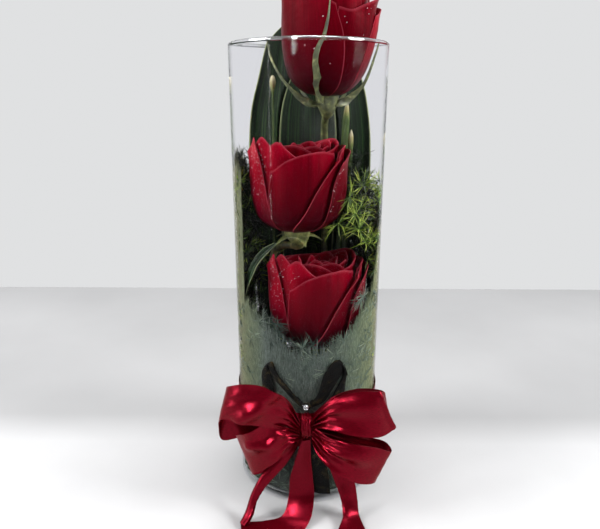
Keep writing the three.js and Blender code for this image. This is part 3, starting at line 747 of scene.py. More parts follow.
def petal_at(bloom, petal, place):
    """The petal's surface: its side edges are angles by height, its lip a row of heights from left to right.

    The top LIP_TURN of it rolls outwards, and a strip of CURLED_EDGE along either side can curl out too.
    """
    across, height = bloom["across"], bloom["height"]
    shift = petal.get("shift", (0, 0))
    curls = petal.get("curl", (0, 0))
    phase = petal["left"][2] * 0.7 + petal["reach"][0] * 9

    def at(u, v):
        left, right = spread(petal["left"], u), spread(petal["right"], u)
        angle = np.radians(left + (right - left) * v)
        lip = np.interp(spread(petal["top"], v), RISE_CURVE[:, 1], RISE_STEPS)
        radial, vertical = spread(PETAL_RISE, u * lip).T
        roll = spread(petal.get("roll", (0, 0, 0)), v)
        turned = np.clip((u - (1 - LIP_TURN)) / LIP_TURN, 0, 1)
        radius = across * spread(petal["reach"], v) * radial
        radius *= 1 - petal.get("close", 0) * np.clip(vertical, 0, 1) ** 3
        radius *= 1 - petal.get("taper", 0) * np.clip(1 - vertical / 0.6, 0, 1)
        side = curls[0] * np.clip(1 - v / CURLED_EDGE, 0, 1) ** 2
        side += curls[1] * np.clip(1 - (1 - v) / CURLED_EDGE, 0, 1) ** 2
        radius += roll * turned**2 + side * np.clip(u * 3, 0, 1)
        # Each petal wavers a little in its own way.
        radius += u * (0.45 * np.sin(5.3 * angle + phase) + 0.3 * np.sin(11 * angle - phase + 6 * u))
        rise = height * vertical - 0.45 * roll * turned**3
        lift = np.clip(vertical, 0, 1) ** 1.5
        points = np.stack(
            [radius * np.cos(angle) + shift[0] * lift, radius * np.sin(angle) + shift[1] * lift, rise],
            axis=1,
        )
        return points @ place[:3, :3].T + place[:3, 3]

    return at


def bloom_place(bloom):
    """Leans the bloom, flattens it towards the glass and sets it on its receptacle."""
    return np.array(
        Matrix.Translation(bloom["base"])
        @ Matrix.Rotation(math.radians(bloom["lean"]), 4, "X")
        @ Matrix.Diagonal((1, bloom["deep"] / bloom["across"], 1, 1))
    )


def spiral_petals(rings, shift, seed):
    """Heart petals wound in a spiral, each ring turned past the last, each petal peaked a little its own way."""
    dice = random.Random(seed)
    first, ring_turn, strayed = -60, 47, 14
    widths = (0.5, 0.9, 1, 0.95, 0.8)
    petals = []
    for layer, (count, reach, top, half_width, close) in enumerate(rings):
        for k in range(count):
            middle = first + ring_turn * layer + 360 * k / count + dice.uniform(-strayed, strayed)
            lean = dice.uniform(-0.05, 0.05)
            peak = dice.uniform(0.0, 0.06)
            petals.append(
                {
                    "left": [middle - half_width * w for w in widths],
                    "right": [middle + half_width * w for w in widths],
                    "top": [top - 0.12 - lean, top - 0.03 - lean, top + peak, top - 0.03 + lean, top - 0.14 + lean],
                    "reach": [reach * 0.84, reach, reach * 1.18],
                    "roll": (0.2, 1.2, 1.0),
                    "close": close,
                    "shift": shift,
                }
            )
    return petals


# The outer petals of the two roses behind the glass, from the back to the front. left and right are the
# angles of the side edges from claw to lip, top the lip's heights as shares of the bloom's, reach the shares
# of its radius across the petal, roll how far the lip turns out in mm and curl the same for its two sides.
# The brightness key is painted light: how much brighter or darker its red is painted for the light or shade on it.
# taper is how much slimmer it is at its foot, close how far its top leans in, as a share of its radius, and shift how
# far that top is moved, in mm.
SIDE_ROSE_PETALS = [
    {  # back left
        "left": [-215, -262, -272, -272, -262], "right": [-170, -195, -200, -200, -200],
        "top": [0.8, 0.86, 0.88, 0.87, 0.84], "reach": [0.95, 0.97, 0.97], "roll": (0.5, 2, 0.5),
    },
    {  # back right
        "left": [25, 15, 12, 14, 20], "right": [75, 95, 100, 100, 90],
        "top": [0.86, 0.88, 0.88, 0.86, 0.82], "reach": [0.93, 0.96, 0.98], "roll": (0.5, 2, 0.5),
    },
    {  # behind the left pair
        "tone": 1.3,
        "left": [-160, -180, -186, -182, -168], "right": [-140, -112, -108, -112, -124],
        "top": [0.92, 0.99, 1.04, 1.1, 1.02], "reach": [0.9, 0.93, 0.93], "roll": (0.5, 1, 0.5),
    },
    {  # leftmost, pointed at its right corner
        "tone": 1.8,
        "left": [-170, -205, -226, -230, -214], "right": [-155, -125, -126, -134, -147],
        "top": [0.78, 0.84, 0.9, 0.99, 1.09], "reach": [0.99, 1.0, 0.97, 0.95], "roll": (2.0, 1.5, 0.6),
        "curl": (0, 0.8),
    },
    {  # left front, behind the large one, its corner turned out
        "tone": 1.7,
        "left": [-110, -126, -128, -128, -126], "right": [-95, -66, -58, -58, -66],
        "top": [1.0, 1.07, 0.97, 0.87, 0.78], "reach": [0.92, 0.92, 0.92, 0.9, 0.88], "roll": (0.5, 2.6, 0.3),
    },
    {  # the large front petal
        "tone": 0.97,
        "left": [-108, -121, -124, -124, -122], "right": [-75, -45, -36, -34, -36],
        "top": [0.75, 0.88, 0.95, 0.96, 0.92], "reach": [0.96, 0.99, 1.0, 0.97, 0.92], "roll": (0.3, 0.8, 0.6),
        "curl": (0.9, 0),
    },
    {  # right, lit on its rim
        "tone": 1.1,
        "left": [-30, -40, -42, -38, -30], "right": [10, 45, 58, 62, 55],
        "top": [0.93, 0.97, 0.96, 0.92, 0.86], "reach": [0.94, 0.97, 0.98], "roll": (1.0, 2.4, 1.5),
    },
    {  # right front, its left edge slanting up to the right and folded out
        "tone": 0.95,
        "left": [-88, -96, -80, -63, -38], "right": [-50, -22, -8, -6, -8],
        "top": [0.88, 0.93, 0.95, 0.94, 0.9], "reach": [1.02, 1.01, 0.99, 0.96], "roll": (1.2, 0.8, 0.3),
        "curl": (1.7, 0),
    },
    {  # outermost right, hanging to a low corner
        "tone": 0.8,
        "left": [-50, -54, -52, -47, -36], "right": [-46, -12, 14, 34, 48],
        "top": [0.84, 0.9, 0.92, 0.9, 0.84], "reach": [1.05, 1.07, 1.04, 1.0], "roll": (1.5, 2.2, 1.0),
        "curl": (1.2, 0),
    },
]
SIDE_ROSE_MIDDLE = [
    {
        "left": [60, 45, 40, 40, 45], "right": [150, 175, 185, 185, 175],
        "top": [0.86, 0.9, 0.9, 0.9, 0.86], "reach": [0.74, 0.78, 0.8], "roll": (0.6, 1.4, 0.6), "shift": (2, 0),
    },
    {
        "left": [150, 135, 130, 130, 138], "right": [215, 235, 240, 240, 232],
        "top": [0.86, 0.9, 0.93, 0.94, 0.9], "reach": [0.74, 0.77, 0.8], "roll": (0.6, 1.2, 0.6), "shift": (2, 0),
    },
    {
        "left": [-130, -150, -158, -158, -146], "right": [-60, -40, -34, -40, -52],
        "top": [0.9, 0.99, 1.03, 0.96, 0.84], "reach": [0.8, 0.8, 0.78], "roll": (0.6, 1.4, 0.3), "shift": (2, 0),
    },
    {
        "left": [-60, -86, -92, -88, -78], "right": [50, 80, 90, 90, 80],
        "top": [0.83, 0.94, 0.98, 1.0, 0.92], "reach": [0.7, 0.72, 0.78, 0.8], "roll": (0.2, 1.0, 1.4), "shift": (3, 0),
    },
]
# Count, reach, height, half width and closing of the heart's rings.
HEART_RINGS = [
    (3, 0.58, 0.96, 66, 0.05),
    (3, 0.45, 0.95, 74, 0.1),
    (3, 0.33, 0.93, 84, 0.15),
    (3, 0.21, 0.9, 100, 0.2),
]

# The outer petals of the rose that stands out of the rim, seen from a little below.
TOP_ROSE_PETALS = [
    {  # back left
        "left": [-225, -268, -280, -280, -268], "right": [-175, -190, -195, -200, -205],
        "top": [0.88, 0.96, 0.99, 0.97, 0.9], "reach": [0.94, 0.96, 0.97], "roll": (1, 3, 1),
    },
    {  # back right
        "left": [40, 18, 10, 12, 22], "right": [80, 100, 104, 104, 95],
        "top": [0.88, 0.95, 0.98, 0.95, 0.88], "reach": [0.94, 0.96, 0.97], "roll": (1, 3, 1),
    },
    {  # front, behind the left one
        "left": [-120, -135, -140, -140, -132], "right": [-70, -45, -40, -40, -45],
        "top": [0.9, 0.97, 0.98, 0.93, 0.85], "reach": [0.9, 0.9, 0.88], "roll": (0.5, 1.5, 0.5),
    },
    {  # right, the bright strip
        "tone": 1.6,
        "left": [-25, -38, -40, -36, -28], "right": [20, 50, 60, 60, 50],
        "top": [0.72, 0.76, 0.8, 0.82, 0.8], "reach": [1.03, 1.05, 1.0, 0.96], "roll": (1.0, 2.0, 1.5),
        "taper": 0.22,
    },
    {  # right front, drawn out to a pointed corner
        "tone": 0.75,
        "left": [-80, -98, -96, -88, -80], "right": [-50, -18, -8, -8, -16],
        "top": [0.78, 0.76, 0.8, 0.85, 0.9], "reach": [0.95, 1.0, 1.0, 0.98], "roll": (0.3, 0.8, 3.6),
        "curl": (0.6, 0.3), "taper": 0.2,
    },
    {  # the large left petal
        "tone": 0.9,
        "left": [-150, -196, -212, -214, -204], "right": [-110, -80, -73, -74, -84],
        "top": [0.9, 0.97, 1.0, 0.97, 0.8], "reach": [0.95, 0.99, 1.0, 1.02], "roll": (1.5, 1.2, 0.4),
        "curl": (0, 0.7),
    },
]
TOP_ROSE_MIDDLE = [dict(petal, top=[t * 0.98 for t in petal["top"]]) for petal in SIDE_ROSE_MIDDLE]


def build_bloom(name, petals, thickness):
    bloom = ROSES[name]
    place = bloom_place(bloom)
    made = []
    for k, petal in enumerate(petals):
        sheet = thin_sheet(f"{name}_petal_{k}", petal_at(bloom, petal, place), 30, 22, thickness)
        # Each petal carries its painted light: how much its red is brightened or darkened for the light or shade on it.
        tone = sheet.data.attributes.new("tone", "FLOAT", "POINT")
        tone.data.foreach_set("value", [petal.get("tone", 1.0)] * len(sheet.data.vertices))
        made.append(sheet)
    return join(name + "_petals", made)


# Dew by rose: which outer petal, how many beads, and the shares of its rise and of its width they lie in.
SIDE_DEW = [(3, 60, (0.55, 0.98), (0.7, 0.99)), (2, 26, (0.6, 0.96), (0.45, 0.75))]
DEW = {
    "rose_bottom": [*SIDE_DEW, (8, 22, (0.5, 0.95), (0.0, 0.12)), (4, 6, (0.8, 1), (0, 1))],
    "rose_middle": [*SIDE_DEW, (8, 16, (0.5, 0.95), (0.0, 0.12))],
    "rose_top": [(4, 8, (0.6, 0.98), (0.1, 0.9)), (5, 8, (0.5, 0.95), (0.3, 0.9))],
}
BEAD_RADII = (0.2, 0.26, 0.32, 0.42)


def build_dew(name, petals, thickness):
    """Dew on a rose: small flattened beads on the outside of its petals."""
    bloom = ROSES[name]
    place = bloom_place(bloom)
    dice = random.Random(name + " dew")
    beads = []
    bead_points, bead_faces = ball()
    count = 0
    for index, amount, (u_low, u_high), (v_low, v_high) in DEW[name]:
        at = petal_at(bloom, petals[index], place)
        for _ in range(amount):
            u, v = dice.uniform(u_low, u_high), dice.uniform(v_low, v_high)
            spot, along, over = at(np.array([u, u + 0.01, u]), np.array([v, v, v + 0.01]))
            normal = np.cross(along - spot, over - spot)
            normal /= np.linalg.norm(normal)
            axis = place[:3, 3] + np.array([0, 0, bloom["height"] / 2])
            if normal @ (spot - axis) < 0:
                normal = -normal
            flat = bead_points * dice.choice(BEAD_RADII)
            flat -= np.outer(flat @ normal, normal) * 0.4
            beads.append((spot + normal * thickness / 2 + flat, count))
            count += len(bead_points)
    mesh = bpy.data.meshes.new(name + "_dew")
    points = np.concatenate([points for points, _ in beads]) * MM
    faces = [tuple(int(i) + first for i in face) for _, first in beads for face in bead_faces]
    mesh.from_pydata(points.tolist(), [], faces)
    mesh.polygons.foreach_set("use_smooth", [True] * len(faces))
    mesh.update()
    dew = bpy.data.objects.new(name + "_dew", mesh)
    bpy.context.scene.collection.objects.link(dew)
    return dew


def ball():
    """The points and faces of a round bead of radius 1."""
    shape = bmesh.new()
    bmesh.ops.create_icosphere(shape, subdivisions=1, radius=1.0)
    points = np.array([tuple(v.co) for v in shape.verts])
    faces = [tuple(v.index for v in face.verts) for face in shape.faces]
    shape.free()
    return points, faces


# ---------------------------------------------------------------- rose stems


# The water's holes are upright, so each stalk rises straight to somewhat above its level of 56 mm.
UPRIGHT = (28, 57, 64)


def stand(foot):
    """The straight stretch in which each stalk rises through the water."""
    return [(*foot, STEM_FOOT), *((*foot, height) for height in UPRIGHT)]


def hanging_sepals(base, drop, count, start):
    """Sepals spread round the foot of a bloom, their tips bent down by drop mm."""
    sepals = []
    for k in range(count):
        angle = math.radians(start + 360 * k / count)
        out = [(3, -4), (8, -3.2), (13, -4.5), (17, -drop)]
        points = [(base[0] + d * math.cos(angle), base[1] + d * math.sin(angle), base[2] + h) for d, h in out]
        sepals.append({"points": points, "width": 13, "facing": (0, 0, 1)})
    return sepals


TOP_CALYX = (11, -3, 267)
# Each stem's foot, the points of its bends, how far its calyx swells and its sepals.
ROSE_STEMS = {
    "rose_bottom": {
        "foot": (3, -6),
        "bends": [(3, -7, 80)],
        "cup": 3.6,
        "sepals": hanging_sepals(ROSES["rose_bottom"]["base"], 9, 5, 20),
    },
    "rose_middle": {
        "foot": (-15, 8),
        "bends": [(-21, 10, 120), (-25.5, 9, 148), (-24, 5, 165), (-17, -5, 173.5)],
        "cup": 7.0,
        "sepals": hanging_sepals(ROSES["rose_middle"]["base"], 7, 5, -70),
    },
    "rose_top": {
        "foot": (9, 18),
        "bends": [(12, 18, 120), (12, 17, 200), (11, 12, 238), (11, 4, 255)],
        "cup": 5.2,
        "sepals": [
            {
                "points": [
                    TOP_CALYX, (8, -17, 272.2), (5.7, -27, 279.4), (3.9, -31.5, 288.7),
                    (5.2, -34, 296.4), (8.7, -35.5, 304.1), (10.8, -37, 312.8), (11.7, -37, 321.6),
                ],
                "width": 9,
                "facing": (0, -1, 0.3),
            },
            {
                "points": [TOP_CALYX, (20, -7, 266), (33, -11, 276), (40, -11, 293), (43, -9, 303)],
                "width": 5,
                "facing": (0.6, -0.7, 0.3),
            },
            {
                "points": [TOP_CALYX, (1, -10, 266), (-13, -14, 277), (-22, -14, 291), (-25, -13, 303)],
                "width": 5,
                "facing": (-0.6, -0.7, 0.3),
            },
            {
                "points": [TOP_CALYX, (18, 8, 265), (25, 17, 272), (28, 24, 284)],
                "width": 6,
                "facing": (0.5, 0.8, 0),
            },
            {
                "points": [TOP_CALYX, (4, 8, 265), (-4, 17, 272), (-9, 24, 284)],
                "width": 6,
                "facing": (-0.5, 0.8, 0),
            },
        ],
    },
}


def sepal_at(sepal):
    """A sepal cupped along its middle, with a few small teeth, drawn out to a point."""
    curve = path_points(sepal["points"], 60)
    tangents = np.gradient(curve, axis=0)
    facing = np.array(sepal["facing"], float)
    facing /= np.linalg.norm(facing)

    def at(u, v):
        centre = spread(curve, u)
        across = np.cross(spread(tangents, u), facing)
        across /= np.linalg.norm(across, axis=1)[:, None]
        side = 2 * v - 1
        # It is widest some fifth of the way out, and toothed from there on.
        taper = (0.55 + 0.45 * np.sin(np.pi * np.minimum(1, 2.2 * u))) * (1 - u)
        teeth = 1 + 0.35 * np.clip(np.sin(26 * u + 1.5 * np.sign(side)), 0, 1) ** 3 * (u > 0.2)
        half_width = sepal["width"] / 2 * taper * teeth + 0.35
        cup = 0.9 * (side**2 - 0.4) * taper
        return centre + across * (half_width * side)[:, None] + facing * cup[:, None]

    return at


CALYX_HEIGHT = 16.0
STEM_IN_BLOOM = 2.0
SEPAL_THICKNESS = 0.5


def build_rose_stem(name):
    """A stem that swells into its calyx under the bloom, with its sepals."""
    bloom, stem = ROSES[name], ROSE_STEMS[name]
    x, y, z = bloom["base"]
    top = z + STEM_IN_BLOOM
    points = path_points([*stand(stem["foot"]), *stem["bends"], (x, y, top - 11), (x, y, top)], 90)
    length = length_of(points)
    below = length * np.linspace(1, 0, len(points))
    radii = np.full(len(points), ROSE_STEM_RADIUS)
    near = below < CALYX_HEIGHT
    radii[near] += stem["cup"] * np.sin(np.pi / 2 * (1 - below[near] / CALYX_HEIGHT)) ** 1.3
    bundle = Bundle()
    bundle.tube(points, radii, 16)
    made = [bundle.piece(name + "_stalk")]
    smooth_shade(made[0])
    for k, sepal in enumerate(stem["sepals"]):
        made.append(thin_sheet(f"{name}_sepal_{k}", sepal_at(sepal), 36, 8, SEPAL_THICKNESS))
    return join(name + "_green", made)


# ---------------------------------------------------------------- leaves and pale stalks

# The radius of the glass side each leaf lines, and its outline: the angles of its right and left edges and
# their height, from the stalk to the tip.
LEAVES = {
    "leaf_left": {
        "foot": (-22, 34),
        "radius": 45.3,
        "outline": [
            (124, 126, 72), (108, 142, 105), (99, 154, 160), (94, 157, 215), (94, 151, 256), (96, 140, 279),
            (100, 126, 308), (104, 114, 318), (107, 109, 321),
        ],
    },
    "leaf_right": {
        "foot": (24, 34),
        "radius": 45.3,
        "outline": [
            (54, 56, 72), (30, 74, 110), (17, 84, 160), (16, 86, 205), (19, 86, 243), (29, 82, 268), (42, 70, 286),
            (54, 60, 293),
        ],
    },
    "leaf_back": {
        "foot": (0, 38),
        "radius": 42.6,
        "outline": [
            (89, 91, 76), (68, 112, 120), (62, 118, 175), (60, 120, 225), (64, 116, 262), (76, 104, 285),
            (88, 92, 296),
        ],
    },
    "rose_leaf": {
        "foot": (-40, -12),
        "radius": 45.6,
        "outline": [
            (199.9, 202.6, 140.9), (202.6, 209.3, 150.1), (209.3, 219.0, 159.6), (218.1, 226.7, 168.8),
            (230.3, 237.1, 178.4), (243.3, 245.4, 185.1),
        ],
    },
}


LEAF_THICKNESS = 0.5


def build_leaf(name):
    """A blade bent along the glass, cupped a little, on the stalk that rises from the water."""
    leaf = LEAVES[name]
    radius = leaf["radius"]
    outline = np.array(leaf["outline"], float)
    edges = np.array([smooth_path(outline, t) for t in np.linspace(0, 1, 80)])

    def at(u, v):
        right, left, height = spread(edges, u).T
        angle = np.radians(right + (left - right) * v)
        side = np.abs(2 * v - 1)
        wave = 0.5 * np.sin(9 * u + 3 * v) * side
        inward = radius - 0.8 * (1 - side) ** 2 + 0.35 * wave
        return np.stack([inward * np.cos(angle), inward * np.sin(angle), height + wave], axis=1)

    blade = thin_sheet(name + "_blade", at, 70, 20, LEAF_THICKNESS)
    # The stalk ends 12 mm up the blade, just inside it.
    right, left, height = outline[0]
    middle = math.radians((right + left) / 2)
    joint = ((radius - 1.2) * math.cos(middle), (radius - 1.2) * math.sin(middle), height + 12)
    points = path_points([*stand(leaf["foot"]), joint], 40)
    bundle = Bundle()
    bundle.tube(points, np.full(len(points), LEAF_STALK_RADIUS), 12)
    stalk = bundle.piece(name + "_stalk")
    stalk.data.uv_layers.new(name="UVMap")
    smooth_shade(stalk)
    return join(name + "_green", [blade, stalk])


# Radii by distance below the tip: a thin stalk with an oval bud, or a pointed green blade, pale at its tip.
PALE_STALKS = {
    "pale_stalk_right": {
        "foot": (19, 10),
        "tip": (26.2, 16, 267),
        "radii": [(0, 0.2), (4, 1.3), (11, 2.3), (22, 2.4)],
    },
    "pale_stalk_far_right": {
        "foot": (24, 4),
        "tip": (29.5, 16, 248),
        "radii": [(0, 0.2), (4, 1.7), (9, 2.0), (14, 1.6), (20, 1.9)],
    },
    "pale_stalk_left": {
        "foot": (-26, 20),
        "tip": (-24, 22, 282.5),
        "radii": [(0, 0.3), (1, 1.3), (4, 2.2), (7, 1.9), (10, 0.9), (12, 0.75)],
    },
}
PALE_STALK_SIDES = 10


def build_pale_stalk(name):
    stalk = PALE_STALKS[name]
    foot, tip = stalk["foot"], stalk["tip"]
    middle = ((foot[0] + tip[0]) / 2, (foot[1] + tip[1]) / 2 + 2, 160)
    points = path_points([*stand(foot), middle, tip], 300)
    below = length_of(points) * np.linspace(1, 0, len(points))
    marks, radii = np.array(stalk["radii"]).T
    bundle = Bundle()
    bundle.tube(points, np.interp(below, marks, radii), PALE_STALK_SIDES)
    # Pale at the tip and green from about 14 mm down.
    bundle.tints_and_shades = [np.repeat(np.clip(1.1 - below / 14, 0.12, 1), PALE_STALK_SIDES)]
    piece = bundle.piece(name + "_skin")
    smooth_shade(piece, 80)
    return piece


# ---------------------------------------------------------------- needle fern

# Each stalk's foot and the points after it; the room its tufts fill, as angles, radii and heights; how many
# tufts it has, how many more lie pressed to the glass, and the places of the bright ones.
FERNS = {
    "fern_left_tall": {
        "points": [(-38, 12), (-41, 3, 120), (-41, -1, 180), (-42, 0, 232)],
        "angles": (152, 208), "radii": (33, 46.4), "heights": (50, 234), "tufts": 330, "pressed": 45,
    },
    "fern_left_front": {
        "points": [(-27, -25), (-31, -26, 80), (-34, -26, 125)],
        "angles": (196, 248), "radii": (32, 46.4), "heights": (12, 138), "tufts": 170, "pressed": 45,
    },
    "fern_front_left": {
        "points": [(-9, -33), (-11, -34, 75), (-12, -35, 92)],
        "angles": (234, 276), "radii": (30, 46.4), "heights": (12, 120), "tufts": 130, "pressed": 50,
    },
    "fern_front_right": {
        "points": [(10, -33), (12, -34, 75), (15, -35, 92)],
        "angles": (264, 306), "radii": (30, 46.4), "heights": (12, 120), "tufts": 130, "pressed": 50,
    },
    "fern_right_front": {
        "points": [(28, -25), (33, -26, 85), (37, -22, 130)],
        "angles": (292, 344), "radii": (32, 46.4), "heights": (12, 150), "tufts": 190, "pressed": 60,
        "bright": [(37, -24, 108), (40, -22, 118), (38, -25, 98), (42, -18, 126), (36, -28, 114), (41, -20, 136)],
    },
    "fern_right_tall": {
        "points": [(36, 2), (41, 0, 110), (39, -2, 165), (36, 0, 212)],
        "angles": (-28, 18), "radii": (28, 46.4), "heights": (50, 222), "tufts": 260, "pressed": 30,
        "bright": [
            (26.3, -24, 210), (19.5, -27, 194.5), (34, -20, 203), (33, -24, 190), (36, -14, 216), (38, -18, 180),
            (30, -28, 200), (37, -22, 168),
        ],
    },
    "fern_right_back": {
        "points": [(32, 19), (34, 15, 110), (34, 12, 170), (33, 13, 222)],
        "angles": (8, 50), "radii": (25, 40), "heights": (50, 232), "tufts": 150,
    },
    "fern_back": {
        "points": [(-3, 28), (-4, 29, 110), (-5, 28, 190), (-6, 26, 240)],
        "angles": (60, 130), "radii": (16, 40), "heights": (50, 236), "tufts": 130,
    },
}
NEEDLE_LENGTH = 9.5
NEEDLE_RADIUS = 0.19
TWIG_RADII = (0.34, 0.2)
BRIGHT_NEEDLES = 26
BRIGHT_LENGTH = 13.5
# Some tufts lie on the glass itself; the others stay behind the mass that lines it.
ON_GLASS = INNER_RADIUS - 0.3
MASS_RADIUS = INNER_RADIUS - 0.7
BEHIND_MASS = INNER_RADIUS - 1.1
# The long leaves line the glass behind this depth and past this radius.
LEAVES_BEHIND_Y = 12
LEAVES_RADIUS = 40.5
# The small rose leaf lies against the glass on the left, aslant: its middle by height, and the room it needs.
ROSE_LEAF_OUTLINE = LEAVES["rose_leaf"]["outline"]
ROSE_LEAF_TURN = [(right + left) / 2 for right, left, height in ROSE_LEAF_OUTLINE]
ROSE_LEAF_RISE = [height for right, left, height in ROSE_LEAF_OUTLINE]
ROSE_LEAF_ROOM = {"radius": 40, "low": 140, "high": 184, "half_angle": 8}


def in_bloom(point):
    """True inside the body of a bloom, with a little room round it."""
    for bloom in ROSES.values():
        x, y, z = (point[i] - bloom["base"][i] for i in range(3))
        share = z / bloom["height"]
        if -0.02 < share < 1.08:
            radial = np.interp(share, RISE_CURVE[:, 1], RISE_CURVE[:, 0]) * 1.05
            if math.hypot(x / bloom["across"], y / bloom["deep"]) < radial + 0.03:
                return True
    return False


def kept_in(point, wall):
    """The point, or the nearest one on that radius if it is past it: needles lie along the glass."""
    radius = math.hypot(point[0], point[1])
    return point * np.array((wall / radius, wall / radius, 1.0)) if radius > wall else point


def room_for(point):
    """True where a needle may be: inside the glass, in front of the leaves, out of the blooms."""
    radius = math.hypot(point[0], point[1])
    if point[2] < GLASS_FLOOR + 2:
        return False
    if point[1] > LEAVES_BEHIND_Y and radius > LEAVES_RADIUS:
        return False
    room = ROSE_LEAF_ROOM
    if radius > room["radius"] and room["low"] < point[2] < room["high"]:
        angle = math.degrees(math.atan2(point[1], point[0])) % 360
        if abs(angle - np.interp(point[2], ROSE_LEAF_RISE, ROSE_LEAF_TURN)) < room["half_angle"]:
            return False
    return not in_bloom(point)


def across_of(axis):
    """Two directions square to an axis."""
    guide = np.array([1.0, 0, 0]) if abs(axis[0]) < 0.8 else np.array([0, 1.0, 0])
    one = np.cross(axis, guide)
    one /= np.linalg.norm(one)
    return one, np.cross(axis, one)


def needle(bundle, root, direction, length, dice, tint, wall):
    """One thin needle that bows a little on its way out."""
    one, other = across_of(direction)
    turn = dice.uniform(0, 2 * math.pi)
    bow = (one * math.cos(turn) + other * math.sin(turn)) * dice.uniform(0.08, 0.35) * length
    points = [kept_in(root + direction * length * t + bow * t * t, wall) for t in (0, 0.35, 0.7, 1.0)]
    if all(room_for(p) for p in points[1:]):
        bundle.tube(points, (NEEDLE_RADIUS, NEEDLE_RADIUS, NEEDLE_RADIUS * 0.8), 3, tint, pointed=True)


def tuft(bundle, root, axis, dice, count, reach, shade, wall):
    """Needles that radiate from one node of a twig, bending towards its tip."""
    one, other = across_of(axis)
    for _ in range(count):
        turn = dice.uniform(0, 2 * math.pi)
        lean = dice.uniform(-0.5, 1.1)
        direction = one * math.cos(turn) + other * math.sin(turn) + axis * lean
        direction /= np.linalg.norm(direction)
        length = reach * dice.uniform(0.6, 1.2)
        needle(bundle, root, direction, length, dice, shade * dice.uniform(0.7, 1.2), wall)


def build_fern(name):
    """One spray: a stalk with fine twigs, and a tuft of needles at the end of each."""
    fern = FERNS[name]
    dice = random.Random(name)
    foot, *rest = fern["points"]
    points = path_points([*stand(foot), *rest], 120)
    bundle = Bundle()
    bundle.tube(points, FERN_STALK_RADIUS * np.linspace(1, 0.5, len(points)), 7, tint=0.3)
    # The bright tufts are painted as in full light.
    nodes = [
        (np.array(spot, float), BRIGHT_NEEDLES, BRIGHT_LENGTH, 1.0, BEHIND_MASS) for spot in fern.get("bright", ())
    ]
    near, far = fern["radii"]
    pressed = fern.get("pressed", 0)
    for k in range(fern["tufts"] + pressed):
        angle = math.radians(dice.uniform(*fern["angles"]))
        radius = near + (far - near) * dice.random() ** 0.7
        # Most tufts stand in the shade of the others; some catch the light.
        shade = dice.uniform(0.45, 0.95) if dice.random() < 0.18 else dice.uniform(0.03, 0.25)
        wall = BEHIND_MASS
        if k < pressed:
            radius, shade, wall = ON_GLASS - 0.6, dice.uniform(0.35, 1.0), ON_GLASS
        spot = np.array((radius * math.cos(angle), radius * math.sin(angle), dice.uniform(*fern["heights"])))
        nodes.append((spot, dice.randint(14, 20), NEEDLE_LENGTH, shade, wall))
    for node, count, reach, shade, wall in nodes:
        # The twig leaves the stalk somewhat below its node and bows up to it.
        root = points[np.argmin(np.abs(points[:, 2] - (node[2] - dice.uniform(4, 14))))]
        bend = np.array((0, 0, -0.25 * np.linalg.norm(node - root)))
        steps = np.linspace(0, 1, 6)
        twig = np.array([kept_in(root + (node - root) * t + bend * t * (1 - t), wall) for t in steps])
        if not all(room_for(p) for p in twig[1:]):
            continue
        bundle.tube(twig, np.linspace(*TWIG_RADII, len(twig)), 3, tint=0.3)
        way = twig[-1] - twig[-2] + np.array((0, 0, 0.4))
        way /= np.linalg.norm(way)
        tuft(bundle, twig[-1], way, dice, count, reach, shade, wall)
    return bundle.piece(name + "_spray")


# Where the sprays lie so close against the glass that they make one mass: angles, foot and the
# heights of its ragged top from its first angle to its last.
PRESSED = {
    "fern_left_mass": {"angles": (146, 212), "foot": 50, "top": (222, 238, 242, 241, 238, 235)},
    "fern_right_mass": {"angles": (-34, 22), "foot": 50, "top": (140, 178, 205, 216, 212, 206)},
    "fern_front_mass": {
        "angles": (208, 330), "foot": 8.7, "top": (158, 154, 145, 133, 128, 127, 129, 136, 150, 162),
    },
}
RAGGED_STEPS = 160
MASS_THICKNESS = 0.4


def build_pressed(name):
    """A thin mass of fern along the glass, its top ragged by up to 3 mm."""
    mass = PRESSED[name]
    dice = random.Random(name)
    ragged = [dice.uniform(-3, 3) for _ in range(RAGGED_STEPS)]
    first, last = mass["angles"]

    def at(u, v):
        angle = np.radians(first + (last - first) * v)
        top = spread(mass["top"], v) + np.interp(v, np.linspace(0, 1, RAGGED_STEPS), ragged)
        height = mass["foot"] + (top - mass["foot"]) * u
        radius = MASS_RADIUS + 0.1 * np.sin(23 * angle + 0.2 * height) + 0.08 * np.sin(0.9 * height)
        return np.stack([radius * np.cos(angle), radius * np.sin(angle), height], axis=1)

    return thin_sheet(name + "_needles", at, 60, RAGGED_STEPS, MASS_THICKNESS)


# ---------------------------------------------------------------- ribbons

RIBBON_WIDTH = 25.0
LOOP_PLEATS = 3.5
PLEAT_FADE = 14
DEEPEST_FOLD = 1.6
PLY_GAP = 0.9
FLOOR_GAP = 0.1
# How far the middle of the band's cloth stands off the glass.
BAND_STANDOFF = 0.55

